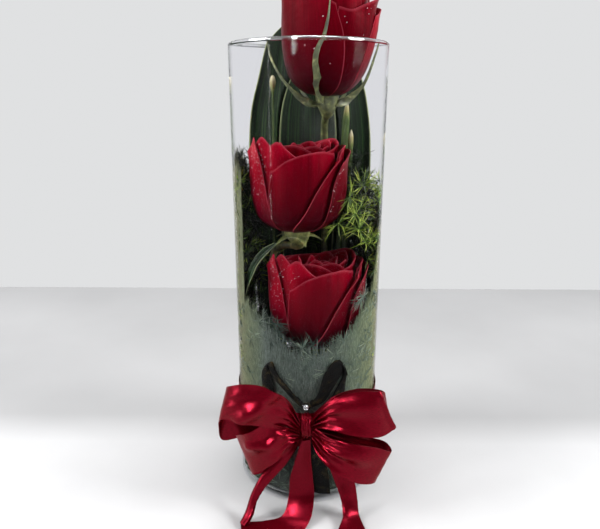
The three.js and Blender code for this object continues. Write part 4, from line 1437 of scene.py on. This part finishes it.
# Rows of the bow's loops, [edge point, other edge point], from the knot out and back behind it.
LOOPS = {
    "bow_loop_upper_left": [
        [(-4.5, -62, 74), (-5.8, -61, 66)],
        [(-12.3, -66, 91.7), (-14.5, -65, 70.7)],
        [(-24.1, -71, 102.3), (-25.4, -70, 74.7)],
        [(-36.8, -72.5, 105.2), (-39.1, -74, 79.9)],
        [(-47, -68, 101.9), (-53.2, -70, 79.4)],
        [(-50.2, -61.5, 97.1), (-56.2, -63, 68.6)],
        [(-48.3, -56.5, 92.1), (-55.1, -58, 56.5)],
        [(-35.9, -54.6, 87.4), (-42.6, -55.5, 57.5)],
        [(-20.6, -54.2, 81.3), (-26.1, -54.6, 64.4)],
        [(-5.4, -56, 74), (-6.2, -56.5, 66)],
    ],
    "bow_loop_lower_left": [
        [(-5.6, -61, 64.5), (-4.3, -60.8, 59.5)],
        [(-13.7, -67, 72.7), (-10.8, -65.5, 57.7)],
        [(-24.7, -71, 76.1), (-19, -69, 50.6)],
        [(-35.9, -71.5, 72.8), (-26.8, -69.5, 43)],
        [(-43.2, -67.5, 66.9), (-34.3, -66, 36.9)],
        [(-45.2, -61, 62), (-34.9, -61, 32.1)],
        [(-36.4, -57.5, 59.6), (-25.2, -57.8, 32.8)],
        [(-20.8, -56.8, 62.9), (-11.2, -57, 43.9)],
        [(-6.2, -57, 63), (-4.8, -57, 58.5)],
    ],
    "bow_loop_upper_right": [
        [(3.6, -61.5, 75), (4.5, -60.5, 69)],
        [(13, -65, 89), (14, -67, 72)],
        [(28, -67, 97), (28, -71, 70)],
        [(43, -66, 98), (46, -70, 68)],
        [(50, -61, 94), (55, -64, 70)],
        [(47, -56, 93), (52, -57, 71)],
        [(32, -54.5, 93), (34, -54.5, 72)],
        [(17, -54, 87), (18, -54, 72)],
        [(4.3, -56, 75), (5, -56, 70)],
    ],
    "bow_loop_lower_right": [
        [(4.9, -61, 67), (3.6, -60.8, 60)],
        [(14, -66, 64), (8, -68, 52)],
        [(28, -69, 62), (18, -72, 43)],
        [(44, -67, 58), (34, -70, 33)],
        [(55, -62, 52), (45, -64, 30)],
        [(52, -57, 55), (42, -58, 34)],
        [(34, -56.5, 60), (27, -56.8, 42)],
        [(5.2, -57, 67), (4.2, -57, 60.5)],
    ],
}
TAILS = {
    "bow_tail_left": [
        [(-5.5, -52.9, 61.5), (-1.5, -53, 59)],
        [(-12, -53.8, 53), (-6, -54.2, 48)],
        [(-20, -56.5, 42), (-14, -58.5, 37)],
        [(-31, -60, 30), (-25, -62.5, 26)],
        [(-37, -62, 18), (-34, -66, 14)],
        [(-41, -66, 6.5), (-37, -70.5, 7.5)],
        [(-44, -71, 2.4), (-41, -75, 3.4)],
    ],
    "bow_tail_middle": [
        [(-3.4, -58, 56.4), (2.8, -58, 56.4)],
        [(-8, -58, 41), (3.5, -57, 41)],
        [(-12, -58, 27), (5, -57.5, 27)],
        [(-13, -60, 14), (6, -60.5, 14)],
        [(-17, -66, 4.2), (3, -71, 4.2)],
        [(-28, -67, 1.4), (-10, -86, 1)],
        [(-44, -68, 1), (-40, -92, 1)],
    ],
    "bow_tail_right": [
        [(1.2, -53, 60), (4.4, -52.9, 62)],
        [(6, -54, 52), (12, -54, 52)],
        [(12, -55.5, 41), (24, -55.5, 39)],
        [(17, -58, 28), (32, -58, 27)],
        [(22, -60, 14), (35, -61, 11)],
        [(24, -66, 6), (36, -64, 4)],
        [(19, -78, 1.4), (40, -76, 1.4)],
        [(17, -97, 1), (41, -101, 1)],
    ],
}
NET = {
    "net_loop_left": [
        [(-4.3, -52.6, 80), (-4.4, -52.4, 77)],
        [(-12.9, -49.8, 90.4), (-14.9, -49, 87)],
        [(-20, -46.9, 99), (-22.8, -45.5, 95.3)],
        [(-23.6, -45.1, 106.3), (-26.1, -43.6, 102.3)],
        [(-29.6, -41.3, 98.9), (-24.1, -44.8, 97.9)],
        [(-30.2, -41.1, 88.4), (-22.2, -45.9, 90.4)],
        [(-29, -42.2, 77), (-20.4, -47, 79.1)],
        [(-17.8, -48.4, 68.7), (-13.7, -49.7, 73.3)],
    ],
    "net_loop_right": [
        [(3.3, -52.6, 80.5), (3.5, -52.4, 77)],
        [(6.9, -50.9, 85.2), (11.2, -50, 79.4)],
        [(10.1, -50, 97.1), (18.4, -47.5, 89.1)],
        [(14.9, -48.7, 106), (23.3, -45.1, 97.3)],
        [(19.4, -47.1, 108.8), (24.9, -44.4, 102)],
        [(24.9, -44.4, 99.8), (25.8, -43.9, 91.4)],
        [(19.1, -47.3, 87.5), (24.6, -44.7, 81.5)],
        [(14.5, -49.3, 78.3), (18.6, -47.9, 74.4)],
    ],
    "net_tail": [
        [(-1, -51.9, 57.5), (4, -51.9, 57.5)],
        [(0, -52.3, 44), (9, -52.3, 44)],
        [(3, -52.6, 28), (15, -52.6, 28)],
        [(5, -52.8, 12), (17, -52.8, 10)],
    ],
}


# Soft folds of the loops: how far the cloth stands out, in mm, at nine steps along it and at four marks from
# its upper edge down. The steps that aren't given lie flat.
FOLD_STEPS, FOLD_MARKS = 9, 4
SOFT_FOLDS = {
    "bow_loop_upper_left": [
        (0, 0, 0, 0), (0, 0, 1.0, 0), (-0.8, -0.6, 1.4, 0.6), (-0.8, 0.4, 1.2, -0.3), (0, 0.3, 0.4, 0),
    ],
    "bow_loop_lower_left": [(0, 0, 0, 0), (0.6, 1.8, 0.8, 0), (-2.0, -1.4, 2.0, 2.2), (2.2, 1.6, 0.6, 0)],
    "bow_loop_upper_right": [
        (0, 0, 0, 0), (0, -1.0, 0.5, -0.8), (0.4, -1.6, 0.6, -0.8), (-0.6, -1.4, -0.4, 0), (1.2, 1.4, 1.2, 0.6),
    ],
    "bow_loop_lower_right": [(0, 0, 0, 0), (0, -1.0, 1.0, 0), (0, -2.0, 0.6, 0), (0, -1.6, 0.6, 0)],
}
# Sharper ridges in the loops: points as (row, share of the width), height and half width in mm.
CREASES = {
    "bow_loop_upper_left": [([(1.7, 0.05), (2.4, 0.5), (3.1, 0.95)], 3.0, 4.4)],
    "bow_loop_lower_left": [([(3.4, 0.3), (2.3, 0.5), (1.2, 0.35)], 2.0, 2.6)],
    "bow_loop_upper_right": [([(3.2, 0.1), (3.6, 0.55), (4.0, 0.95)], -2.4, 2.0)],
}


def creased(rows, shares, creases, row_step, width):
    """How far the creases lift each point of the cloth."""
    lift = np.zeros(len(rows))
    spots = np.column_stack([rows * row_step, shares * width])
    for points, height, half_width in creases:
        line = np.array(points, float) * (row_step, width)
        away = np.full(len(rows), np.inf)
        for start, end in zip(line, line[1:]):
            way = end - start
            share = np.clip((spots - start) @ way / (way @ way), 0, 1)
            away = np.minimum(away, np.linalg.norm(spots - start - share[:, None] * way, axis=1))
        lift += height * np.exp(-((away / half_width) ** 2))
    return lift


def softly_folded(folds, u, v):
    """How far the soft folds lift each point, eased between their marks across the cloth."""
    steps = np.zeros((FOLD_STEPS, FOLD_MARKS))
    steps[: len(folds)] = folds
    across = spread(steps, u)
    marks = v * (FOLD_MARKS - 1)
    left = np.minimum(marks.astype(int), FOLD_MARKS - 2)
    share = marks - left
    share = share * share * (3 - 2 * share)
    point = np.arange(len(u))
    return across[point, left] * (1 - share) + across[point, left + 1] * share


def edge_curve(points):
    """The smooth curve through the points at equal steps of its parameter, so both edges keep in step."""
    return np.array([smooth_path(points, t) for t in np.linspace(0, 1, 140)])


def ribbon_at(rows, pleats, fade, soft_folds, creases):
    """A ribbon between its rows' edges.

    With pleats, it is gathered into them by the knot, and they fade out over fade mm from either end.
    With none, the width that its edges leave over is folded behind it.
    """
    one = edge_curve([row[0] for row in rows])
    other = edge_curve([row[1] for row in rows])
    middle = (one + other) / 2
    length = length_of(middle)
    steps = len(rows) - 1

    def at(u, v):
        a, b = spread(one, u), spread(other, u)
        along = spread(middle, u + 0.01) - spread(middle, u - 0.01)
        width = np.linalg.norm(b - a, axis=1)
        normal = np.cross(along, b - a)
        normal /= np.linalg.norm(normal, axis=1)[:, None]
        if pleats:
            spare = np.clip(1 - width / RIBBON_WIDTH, 0, 1)
            gather = np.exp(-u * length / fade) + np.exp(-(1 - u) * length / fade)
            depth = np.minimum(0.5 * gather + 0.28 * RIBBON_WIDTH / pleats * spare, DEEPEST_FOLD)
            fold = depth * np.cos(2 * np.pi * pleats * v)
            fold = fold + softly_folded(soft_folds, u, v)
            fold = fold + creased(u * steps, v, creases, length / steps, RIBBON_WIDTH)
            return a + (b - a) * v[:, None] + normal * fold[:, None]
        # Each ply turns back under the one before it, and behind is away from the viewer.
        plies = np.maximum(RIBBON_WIDTH / width, 1.0) * v
        share = np.arccos(0.985 * np.cos(np.pi * plies)) / np.pi
        swell = 0.9 * np.sin(np.pi * np.clip(plies, 0, 1)) * (1 - np.exp(-u * 6))
        behind = PLY_GAP * (plies - 0.5 * np.sin(2 * np.pi * plies) / np.pi)
        forward = np.sign(1e-9 - normal[:, 1:2])
        return a + (b - a) * share[:, None] + normal * (swell - behind)[:, None] * forward

    return at, length


def build_ribbon(name, rows, thickness, pleats=0, across=36):
    """A stretch of ribbon that keeps clear of the floor, and its length."""
    at, length = ribbon_at(rows, pleats, PLEAT_FADE, SOFT_FOLDS.get(name, ()), CREASES.get(name, ()))

    def above_floor(u, v):
        points = at(u, v)
        points[:, 2] = np.maximum(points[:, 2], thickness / 2 + FLOOR_GAP)
        return points

    flat = (length, RIBBON_WIDTH)
    return thin_sheet(name + "_cloth", above_floor, 96, across, thickness, flat=flat), length


def build_band(thickness):
    """The ribbon round the vase, drawn tight, its ends meeting behind the knot."""
    radius = VASE_RADIUS + BAND_STANDOFF

    def at(u, v):
        angle = 2 * np.pi * u - np.pi / 2
        out = radius + 0.12 * np.sin(7 * angle) * np.sin(np.pi * v)
        height = BAND_LOW + (BAND_HIGH - BAND_LOW) * v
        return np.stack([out * np.cos(angle), out * np.sin(angle), height], axis=1)

    flat = (2 * math.pi * radius, BAND_HIGH - BAND_LOW)
    return thin_sheet("ribbon_band_cloth", at, 160, 8, thickness, flat=flat)


# The knots' centres and half sizes, the pleats from side to side and their depth as a share of the girth.
KNOTS = {
    "bow_knot": {"centre": (-0.5, -58.1, 68), "half": (5.0, 6.4, 10.8), "pleats": 2.6, "depth": 0.16},
    "net_knot": {"centre": (-0.5, -52.3, 78.6), "half": (3.4, 1.5, 3.2), "pleats": 2.0, "depth": 0.2},
}


def build_knot(name):
    """Ribbon wound over the middle of the bow, gathered into pleats that run over it."""
    centre, half, pleats, depth = KNOTS[name].values()
    deselect()
    bpy.ops.mesh.primitive_uv_sphere_add(segments=64, ring_count=40, radius=1.0)
    knot = bpy.context.object
    knot.name = knot.data.name = name + "_cloth"
    points = np.empty(len(knot.data.vertices) * 3)
    knot.data.vertices.foreach_get("co", points)
    points = points.reshape(-1, 3)
    side = points[:, 0]
    # The pleats waver as they run round, and the knot is drawn in at its ends and a little at its waist.
    girth = 1 - depth * (0.5 + 0.5 * np.cos(2 * np.pi * pleats * (side + 0.06 * np.sin(5 * points[:, 2]))))
    girth *= 1 - np.abs(side) ** 6 * 0.3
    waist = 1 - 0.12 * (1 - np.abs(side))
    shaped = points * np.stack([np.ones(len(side)), girth, girth * waist], axis=1)
    placed = (shaped * np.array(half) + np.array(centre)) * MM
    knot.data.vertices.foreach_set("co", placed.astype(np.float32).ravel())
    layer = knot.data.uv_layers.active.data
    corners = np.empty(len(layer) * 2)
    layer.foreach_get("uv", corners)
    flat = np.array((2 * math.pi * half[0], 2 * half[2])) * MM
    layer.foreach_set("uv", (corners.reshape(-1, 2) * flat).ravel())
    knot.data.update()
    smooth_shade(knot, 80)
    return knot


PIN_CENTRE = (-0.8, -56.9, 80.6)
PIN_WIRE_RADIUS = 0.2
# How far each ring of the pin is tilted, and its radius.
PIN_RINGS = ((0.0, 1.5), (1.1, 1.25), (2.2, 1.0))


def build_pin():
    """A small rose of bright wire at the knot: rings that close a little past one turn."""
    bundle = Bundle()
    for turn, size in PIN_RINGS:
        angles = np.linspace(0, 2 * np.pi * 1.15, 30)
        ring = np.stack(
            [
                size * np.cos(angles),
                0.35 * np.sin(angles + turn) * size - 0.3,
                size * np.sin(angles) * math.cos(turn * 0.4),
            ],
            axis=1,
        )
        bundle.tube(np.array(PIN_CENTRE) + ring, np.full(len(ring), PIN_WIRE_RADIUS), 8)
    pin = bundle.piece("bow_pin_wire")
    smooth_shade(pin)
    return pin


# ---------------------------------------------------------------- settings


class RoseVaseSettings(bpy.types.PropertyGroup):
    heart_rings: bpy.props.IntProperty(
        name="Heart rings", description="How many rings of petals the heart of each rose has", default=4, min=1, max=4
    )
    petal_thickness: bpy.props.FloatProperty(
        name="Petal thickness", description="Thickness of each petal", default=0.45 * MM, precision=5, unit="LENGTH"
    )
    ribbon_thickness: bpy.props.FloatProperty(
        name="Ribbon thickness", description="Thickness of the satin", default=0.35 * MM, precision=5, unit="LENGTH"
    )
    net_thickness: bpy.props.FloatProperty(
        name="Net thickness", description="Thickness of the net ribbon", default=0.3 * MM, precision=5, unit="LENGTH"
    )
    petal_colour: bpy.props.StringProperty(
        name="Petal colour", description="sRGB hex colour of a petal near its lip", default="#8E001A"
    )
    leaf_colour: bpy.props.StringProperty(
        name="Leaf colour", description="sRGB hex colour of the brightest veins of the long leaves", default="#405E28"
    )
    fern_colour: bpy.props.StringProperty(
        name="Fern colour", description="sRGB hex colour of the fern where it catches the light", default="#8CA636"
    )
    satin_colour: bpy.props.StringProperty(
        name="Satin colour", description="sRGB hex colour of the satin ribbon's floats", default="#7A0018"
    )
    floor_colour: bpy.props.StringProperty(
        name="Floor colour", description="sRGB hex colour of the pale floor", default="#E0E0E1"
    )
    floor_size: bpy.props.FloatVectorProperty(
        name="Floor size",
        description="Width and depth of the pale floor",
        size=2,
        default=(1.8, 1.0),
        unit="LENGTH",
    )
    lens: bpy.props.FloatProperty(
        name="Lens", description="Focal length of the camera, for a 36 mm wide sensor", default=32.47, min=10.0
    )
    camera_place: bpy.props.FloatVectorProperty(
        name="Camera place", description="Where the camera stands", default=(0.0, -0.3621, 0.2702), subtype="XYZ"
    )
    camera_tilt: bpy.props.FloatProperty(
        name="Camera tilt", description="How far the camera looks down", default=0.298, subtype="ANGLE"
    )
    camera_pan: bpy.props.FloatProperty(
        name="Camera pan", description="How far the camera turns to the left", default=0.0145, subtype="ANGLE"
    )
    key_power: bpy.props.FloatProperty(
        name="Key light", description="Power of the soft light at the upper left", default=9.5, unit="POWER"
    )
    fill_power: bpy.props.FloatProperty(
        name="Fill light", description="Power of the soft light at the right", default=9.0, unit="POWER"
    )
    top_power: bpy.props.FloatProperty(
        name="Top light", description="Power of the soft light overhead", default=13.0, unit="POWER"
    )
    room_light: bpy.props.FloatProperty(
        name="Room light", description="Brightness of the pale room round the vase", default=0.9, min=0.0
    )


def settings():
    return bpy.context.scene.rose_vase


# ---------------------------------------------------------------- operators


# The stage's sizes and places are in metres.
FLOOR_THICKNESS = 0.03
FLOOR_MIDDLE_Y = -0.1
LIT_POINT = (0, 0, 0.16)
SOFTBOXES = {
    "key": ((-0.85, -0.2, 0.7), (0.45, 0.45)),
    "fill": ((0.9, -0.3, 0.6), (0.35, 0.35)),
    "top": ((0.1, 0.1, 1.5), (0.6, 0.6)),
}
# These lamps light nothing: they only stand as bright strips in the glass and as streaks in the satin. The
# last number is each lamp's power.
MIRRORED_LAMPS = {
    "left_strip": ((-0.49, -0.36, 0.25), (0.03, 0.4), 1.7),
    "left_glint": ((-0.19, -0.56, 0.5), (0.06, 0.2), 6.0),
    "right_glint": ((0.5, -0.25, 0.6), (0.05, 0.2), 2.8),
}


class ROSES_OT_stage(bpy.types.Operator):
    """Lay the floor, set the soft lights and place the camera"""

    bl_idname = "roses.stage"
    bl_label = "Studio stage and camera"

    def execute(self, context):
        chosen = settings()
        self.lay_floor(chosen)
        self.place_camera(chosen)
        self.light_room(chosen)
        for name, (place, size) in SOFTBOXES.items():
            self.softbox(name + "_softbox", place, size, getattr(chosen, name + "_power"))
        for name, (place, size, power) in MIRRORED_LAMPS.items():
            self.softbox(name, place, size, power, only_mirrored=True)
        return {"FINISHED"}

    def lay_floor(self, chosen):
        deselect()
        width, depth = chosen.floor_size
        bpy.ops.mesh.primitive_cube_add(size=1)
        floor = bpy.context.object
        middle = Matrix.Translation((0, FLOOR_MIDDLE_Y, -FLOOR_THICKNESS / 2))
        floor.data.transform(middle @ Matrix.Diagonal((width, depth, FLOOR_THICKNESS, 1)))
        apply_modifier(floor, "BEVEL", width=0.004, segments=3)
        floor.name = "studio_floor"
        material, tree = new_material("studio floor, matt pale card")
        solid = add(tree, "ShaderNodeTexCoord")
        cloud = add(tree, "ShaderNodeTexNoise", {"Vector": (solid, "Object"), "Scale": 6.0, "Detail": 5.0})
        tones = [(0.3, "#D6D6D7"), (0.7, chosen.floor_colour)]
        card = add(tree, "ShaderNodeValToRGB", {0: (cloud, 0)}, stops=tones)
        # The card greys off behind the vase.
        back = add(tree, "ShaderNodeSeparateXYZ", {0: (solid, "Object")})
        away = add(tree, "ShaderNodeValToRGB", {0: (back, 1)}, stops=[(0.02, 1.0), (0.06, 0.72)])
        pale = add(tree, "ShaderNodeMix", {"Factor": 1.0, 6: (card, 0), 7: (away, 0)}, **TIMES)
        shader = add(
            tree,
            "ShaderNodeBsdfPrincipled",
            {"Base Color": (pale, 2), "Roughness": 0.9, "Specular IOR Level": 0.1},
        )
        output(tree, shader)
        floor.data.materials.append(material)

    def place_camera(self, chosen):
        camera = bpy.data.cameras.new("camera")
        camera.lens = chosen.lens
        camera.sensor_width = 36.0
        camera.clip_start = 0.01
        viewer = bpy.data.objects.new("camera", camera)
        viewer.location = chosen.camera_place
        viewer.rotation_euler = (math.pi / 2 - chosen.camera_tilt, 0, chosen.camera_pan)
        scene = bpy.context.scene
        scene.collection.objects.link(viewer)
        scene.camera = viewer
        scene.view_settings.view_transform = "Standard"

    def light_room(self, chosen):
        """The room is pale all round and dim overhead, so that the softboxes shape the petals and the satin."""
        world = bpy.data.worlds.new("pale room")
        bpy.context.scene.world = world
        world.use_nodes = True
        tree = world.node_tree
        tree.nodes.clear()
        toward = add(tree, "ShaderNodeTexCoord")
        parts = add(tree, "ShaderNodeSeparateXYZ", {0: (toward, "Generated")})
        tones = [(0.16, "#F0F1F2"), (0.4, "#77797C"), (1.0, "#4A4C50")]
        pale = add(tree, "ShaderNodeValToRGB", {0: (parts, 2)}, stops=tones)
        # It is darker in front of the vase than behind it.
        lifted = add(tree, "ShaderNodeMath", {0: (parts, 1), 1: 1.0}, operation="ADD")
        depth = add(tree, "ShaderNodeValToRGB", {0: (lifted, 0)}, stops=[(0.35, 0.3), (1.1, 0.95)])
        dimmed = add(tree, "ShaderNodeMix", {"Factor": 1.0, 6: (pale, 0), 7: (depth, 0)}, **TIMES)
        glow = add(tree, "ShaderNodeBackground", {"Color": (dimmed, 2), "Strength": chosen.room_light})
        add(tree, "ShaderNodeOutputWorld", {"Surface": (glow, 0)})

    def softbox(self, name, place, size, power, only_mirrored=False):
        light = bpy.data.lights.new(name, "AREA")
        light.shape = "RECTANGLE"
        light.size, light.size_y = size
        light.energy = power
        lamp = bpy.data.objects.new(name, light)
        lamp.location = place
        aim = Vector(LIT_POINT) - Vector(place)
        lamp.rotation_euler = aim.to_track_quat("-Z", "Y").to_euler()
        lamp.visible_camera = False
        lamp.visible_diffuse = not only_mirrored
        bpy.context.scene.collection.objects.link(lamp)


class ROSES_OT_blooms(bpy.types.Operator):
    """Grow the three rose blooms, petal by petal, with their dew"""

    bl_idname = "roses.blooms"
    bl_label = "Rose blooms"

    def execute(self, context):
        chosen = settings()
        velvet = petal_material(chosen.petal_colour)
        dew = dew_material()
        thickness = chosen.petal_thickness / MM
        rings = HEART_RINGS[: chosen.heart_rings]
        side = SIDE_ROSE_PETALS + SIDE_ROSE_MIDDLE + spiral_petals(rings, shift=(7, 1), seed=4)
        top = TOP_ROSE_PETALS + TOP_ROSE_MIDDLE + spiral_petals(rings, shift=(0, 0), seed=6)
        for name, petals in (("rose_bottom", side), ("rose_middle", side), ("rose_top", top)):
            dress(build_bloom(name, petals, thickness), velvet, "rose_petal", name + "_bloom")
            dress(build_dew(name, petals, thickness), dew, "water")
        return {"FINISHED"}


class ROSES_OT_stems(bpy.types.Operator):
    """Make the rose stems with their calyxes and sepals"""

    bl_idname = "roses.stems"
    bl_label = "Rose stems"

    def execute(self, context):
        young = stem_material("rose stem, young green skin", ("#525A2C", "#7C8446", "#9CA058", "#C6C67C"))
        olive = stem_material("rose stem, olive skin", ("#33381A", "#50572C", "#6E7440", "#B4B47A"))
        for name in ROSE_STEMS:
            skin = olive if name == "rose_top" else young
            dress(build_rose_stem(name), skin, "rose_green", name + "_stem")
        return {"FINISHED"}


class ROSES_OT_leaves(bpy.types.Operator):
    """Make the long leaves, the rose leaf and the pale cut stalks"""

    bl_idname = "roses.leaves"
    bl_label = "Leaves and pale stalks"

    def execute(self, context):
        blade = leaf_material(settings().leaf_colour)
        for name in LEAVES:
            slot = "rose_green" if name == "rose_leaf" else "dark_leaf"
            dress(build_leaf(name), blade, slot, name)
        pale = tinted_material(
            "cut stalk, pale green skin",
            [(0.0, "#33491F"), (0.35, "#56662E"), (0.7, "#A39A66"), (1.0, "#D6CDA8")],
            roughness=0.5,
            grain_mm=3.0,
        )
        for name in PALE_STALKS:
            dress(build_pale_stalk(name), pale, "pale_stalk", name)
        return {"FINISHED"}


class ROSES_OT_fern(bpy.types.Operator):
    """Make the sprays of needle fern"""

    bl_idname = "roses.fern"
    bl_label = "Needle fern"

    def execute(self, context):
        lit = settings().fern_colour
        fresh = tinted_material(
            "needle fern, fresh green",
            [(0.0, "#060C05"), (0.25, "#101C0C"), (0.55, "#3F5E1E"), (0.8, lit), (1.0, "#C6D658")],
            roughness=0.45,
            grain_mm=12.0,
        )
        # The front sprays are painted grey green: painted haze, the pale veil that the glass and the water lay over
        # them.
        painted_haze = tinted_material(
            "needle fern, misted grey green",
            [(0.0, "#2E3A32"), (0.4, "#55645A"), (0.75, "#768676"), (1.0, "#A4B096")],
            roughness=0.9,
            grain_mm=14.0,
        )
        for name in FERNS:
            dress(build_fern(name), painted_haze if "front" in name else fresh, "fern", name)
        front = pressed_material("needle fern, pressed to the front of the glass", ragged=0.2)
        sides = pressed_material("needle fern, pressed to the sides of the glass", ragged=0.09)
        for name in PRESSED:
            dress(build_pressed(name), front if "front" in name else sides, "fern")
        return {"FINISHED"}


class ROSES_OT_bow(bpy.types.Operator):
    """Tie the satin ribbon: the band, the four loops, the knot and the three tails"""

    bl_idname = "roses.bow"
    bl_label = "Satin bow"

    def execute(self, context):
        chosen = settings()
        satin = satin_material(chosen.satin_colour)
        thickness = chosen.ribbon_thickness / MM
        band = dress(build_band(thickness), satin, "red_satin", "ribbon_band")
        for name, rows in LOOPS.items():
            loop, length = build_ribbon(name, rows, thickness, LOOP_PLEATS, across=26)
            dress(loop, satin, "red_satin", name)
        for name, rows in TAILS.items():
            tail, length = build_ribbon(name, rows, thickness)
            dress(tail, satin, "red_satin", name)
        dress(build_knot("bow_knot"), satin, "red_satin", "bow_knot")
        return {"FINISHED"}


class ROSES_OT_net(bpy.types.Operator):
    """Tie the dark net ribbon behind the bow and set the pin"""

    bl_idname = "roses.net"
    bl_label = "Net ribbon and pin"

    def execute(self, context):
        net = net_material()
        thickness = settings().net_thickness / MM
        for name, rows in NET.items():
            piece, length = build_ribbon(name, rows, thickness)
            dress(piece, net, "dark_net", name)
        dress(build_knot("net_knot"), net, "dark_net", "net_knot")
        dress(build_pin(), wire_material(), "silver_wire", "bow_pin")
        return {"FINISHED"}


class ROSES_OT_vase(bpy.types.Operator):
    """Blow the glass cylinder and fill in its water"""

    bl_idname = "roses.vase"
    bl_label = "Glass vase and water"

    def execute(self, context):
        build_vase()
        build_water()
        return {"FINISHED"}


OPERATORS = (
    ROSES_OT_stage,
    ROSES_OT_vase,
    ROSES_OT_blooms,
    ROSES_OT_stems,
    ROSES_OT_leaves,
    ROSES_OT_fern,
    ROSES_OT_bow,
    ROSES_OT_net,
)


class ROSES_PT_panel(bpy.types.Panel):
    """Roses in a glass vase"""

    bl_idname = "ROSES_PT_panel"
    bl_label = "Roses in a glass vase"
    bl_space_type = "VIEW_3D"
    bl_region_type = "UI"
    bl_category = "Roses"

    def draw(self, context):
        column = self.layout.column()
        for name in RoseVaseSettings.__annotations__:
            column.prop(context.scene.rose_vase, name)
        for operator in OPERATORS:
            column.operator(operator.bl_idname)


CLASSES = (RoseVaseSettings, *OPERATORS, ROSES_PT_panel)


def register():
    for item in CLASSES:
        bpy.utils.register_class(item)
    bpy.types.Scene.rose_vase = bpy.props.PointerProperty(type=RoseVaseSettings)


def unregister():
    del bpy.types.Scene.rose_vase
    for item in reversed(CLASSES):
        bpy.utils.unregister_class(item)


def main():
    register()
    bpy.ops.roses.stage()
    bpy.ops.roses.vase()
    bpy.ops.roses.blooms()
    bpy.ops.roses.stems()
    bpy.ops.roses.leaves()
    bpy.ops.roses.fern()
    bpy.ops.roses.bow()
    bpy.ops.roses.net()


if __name__ == "__main__":
    main()
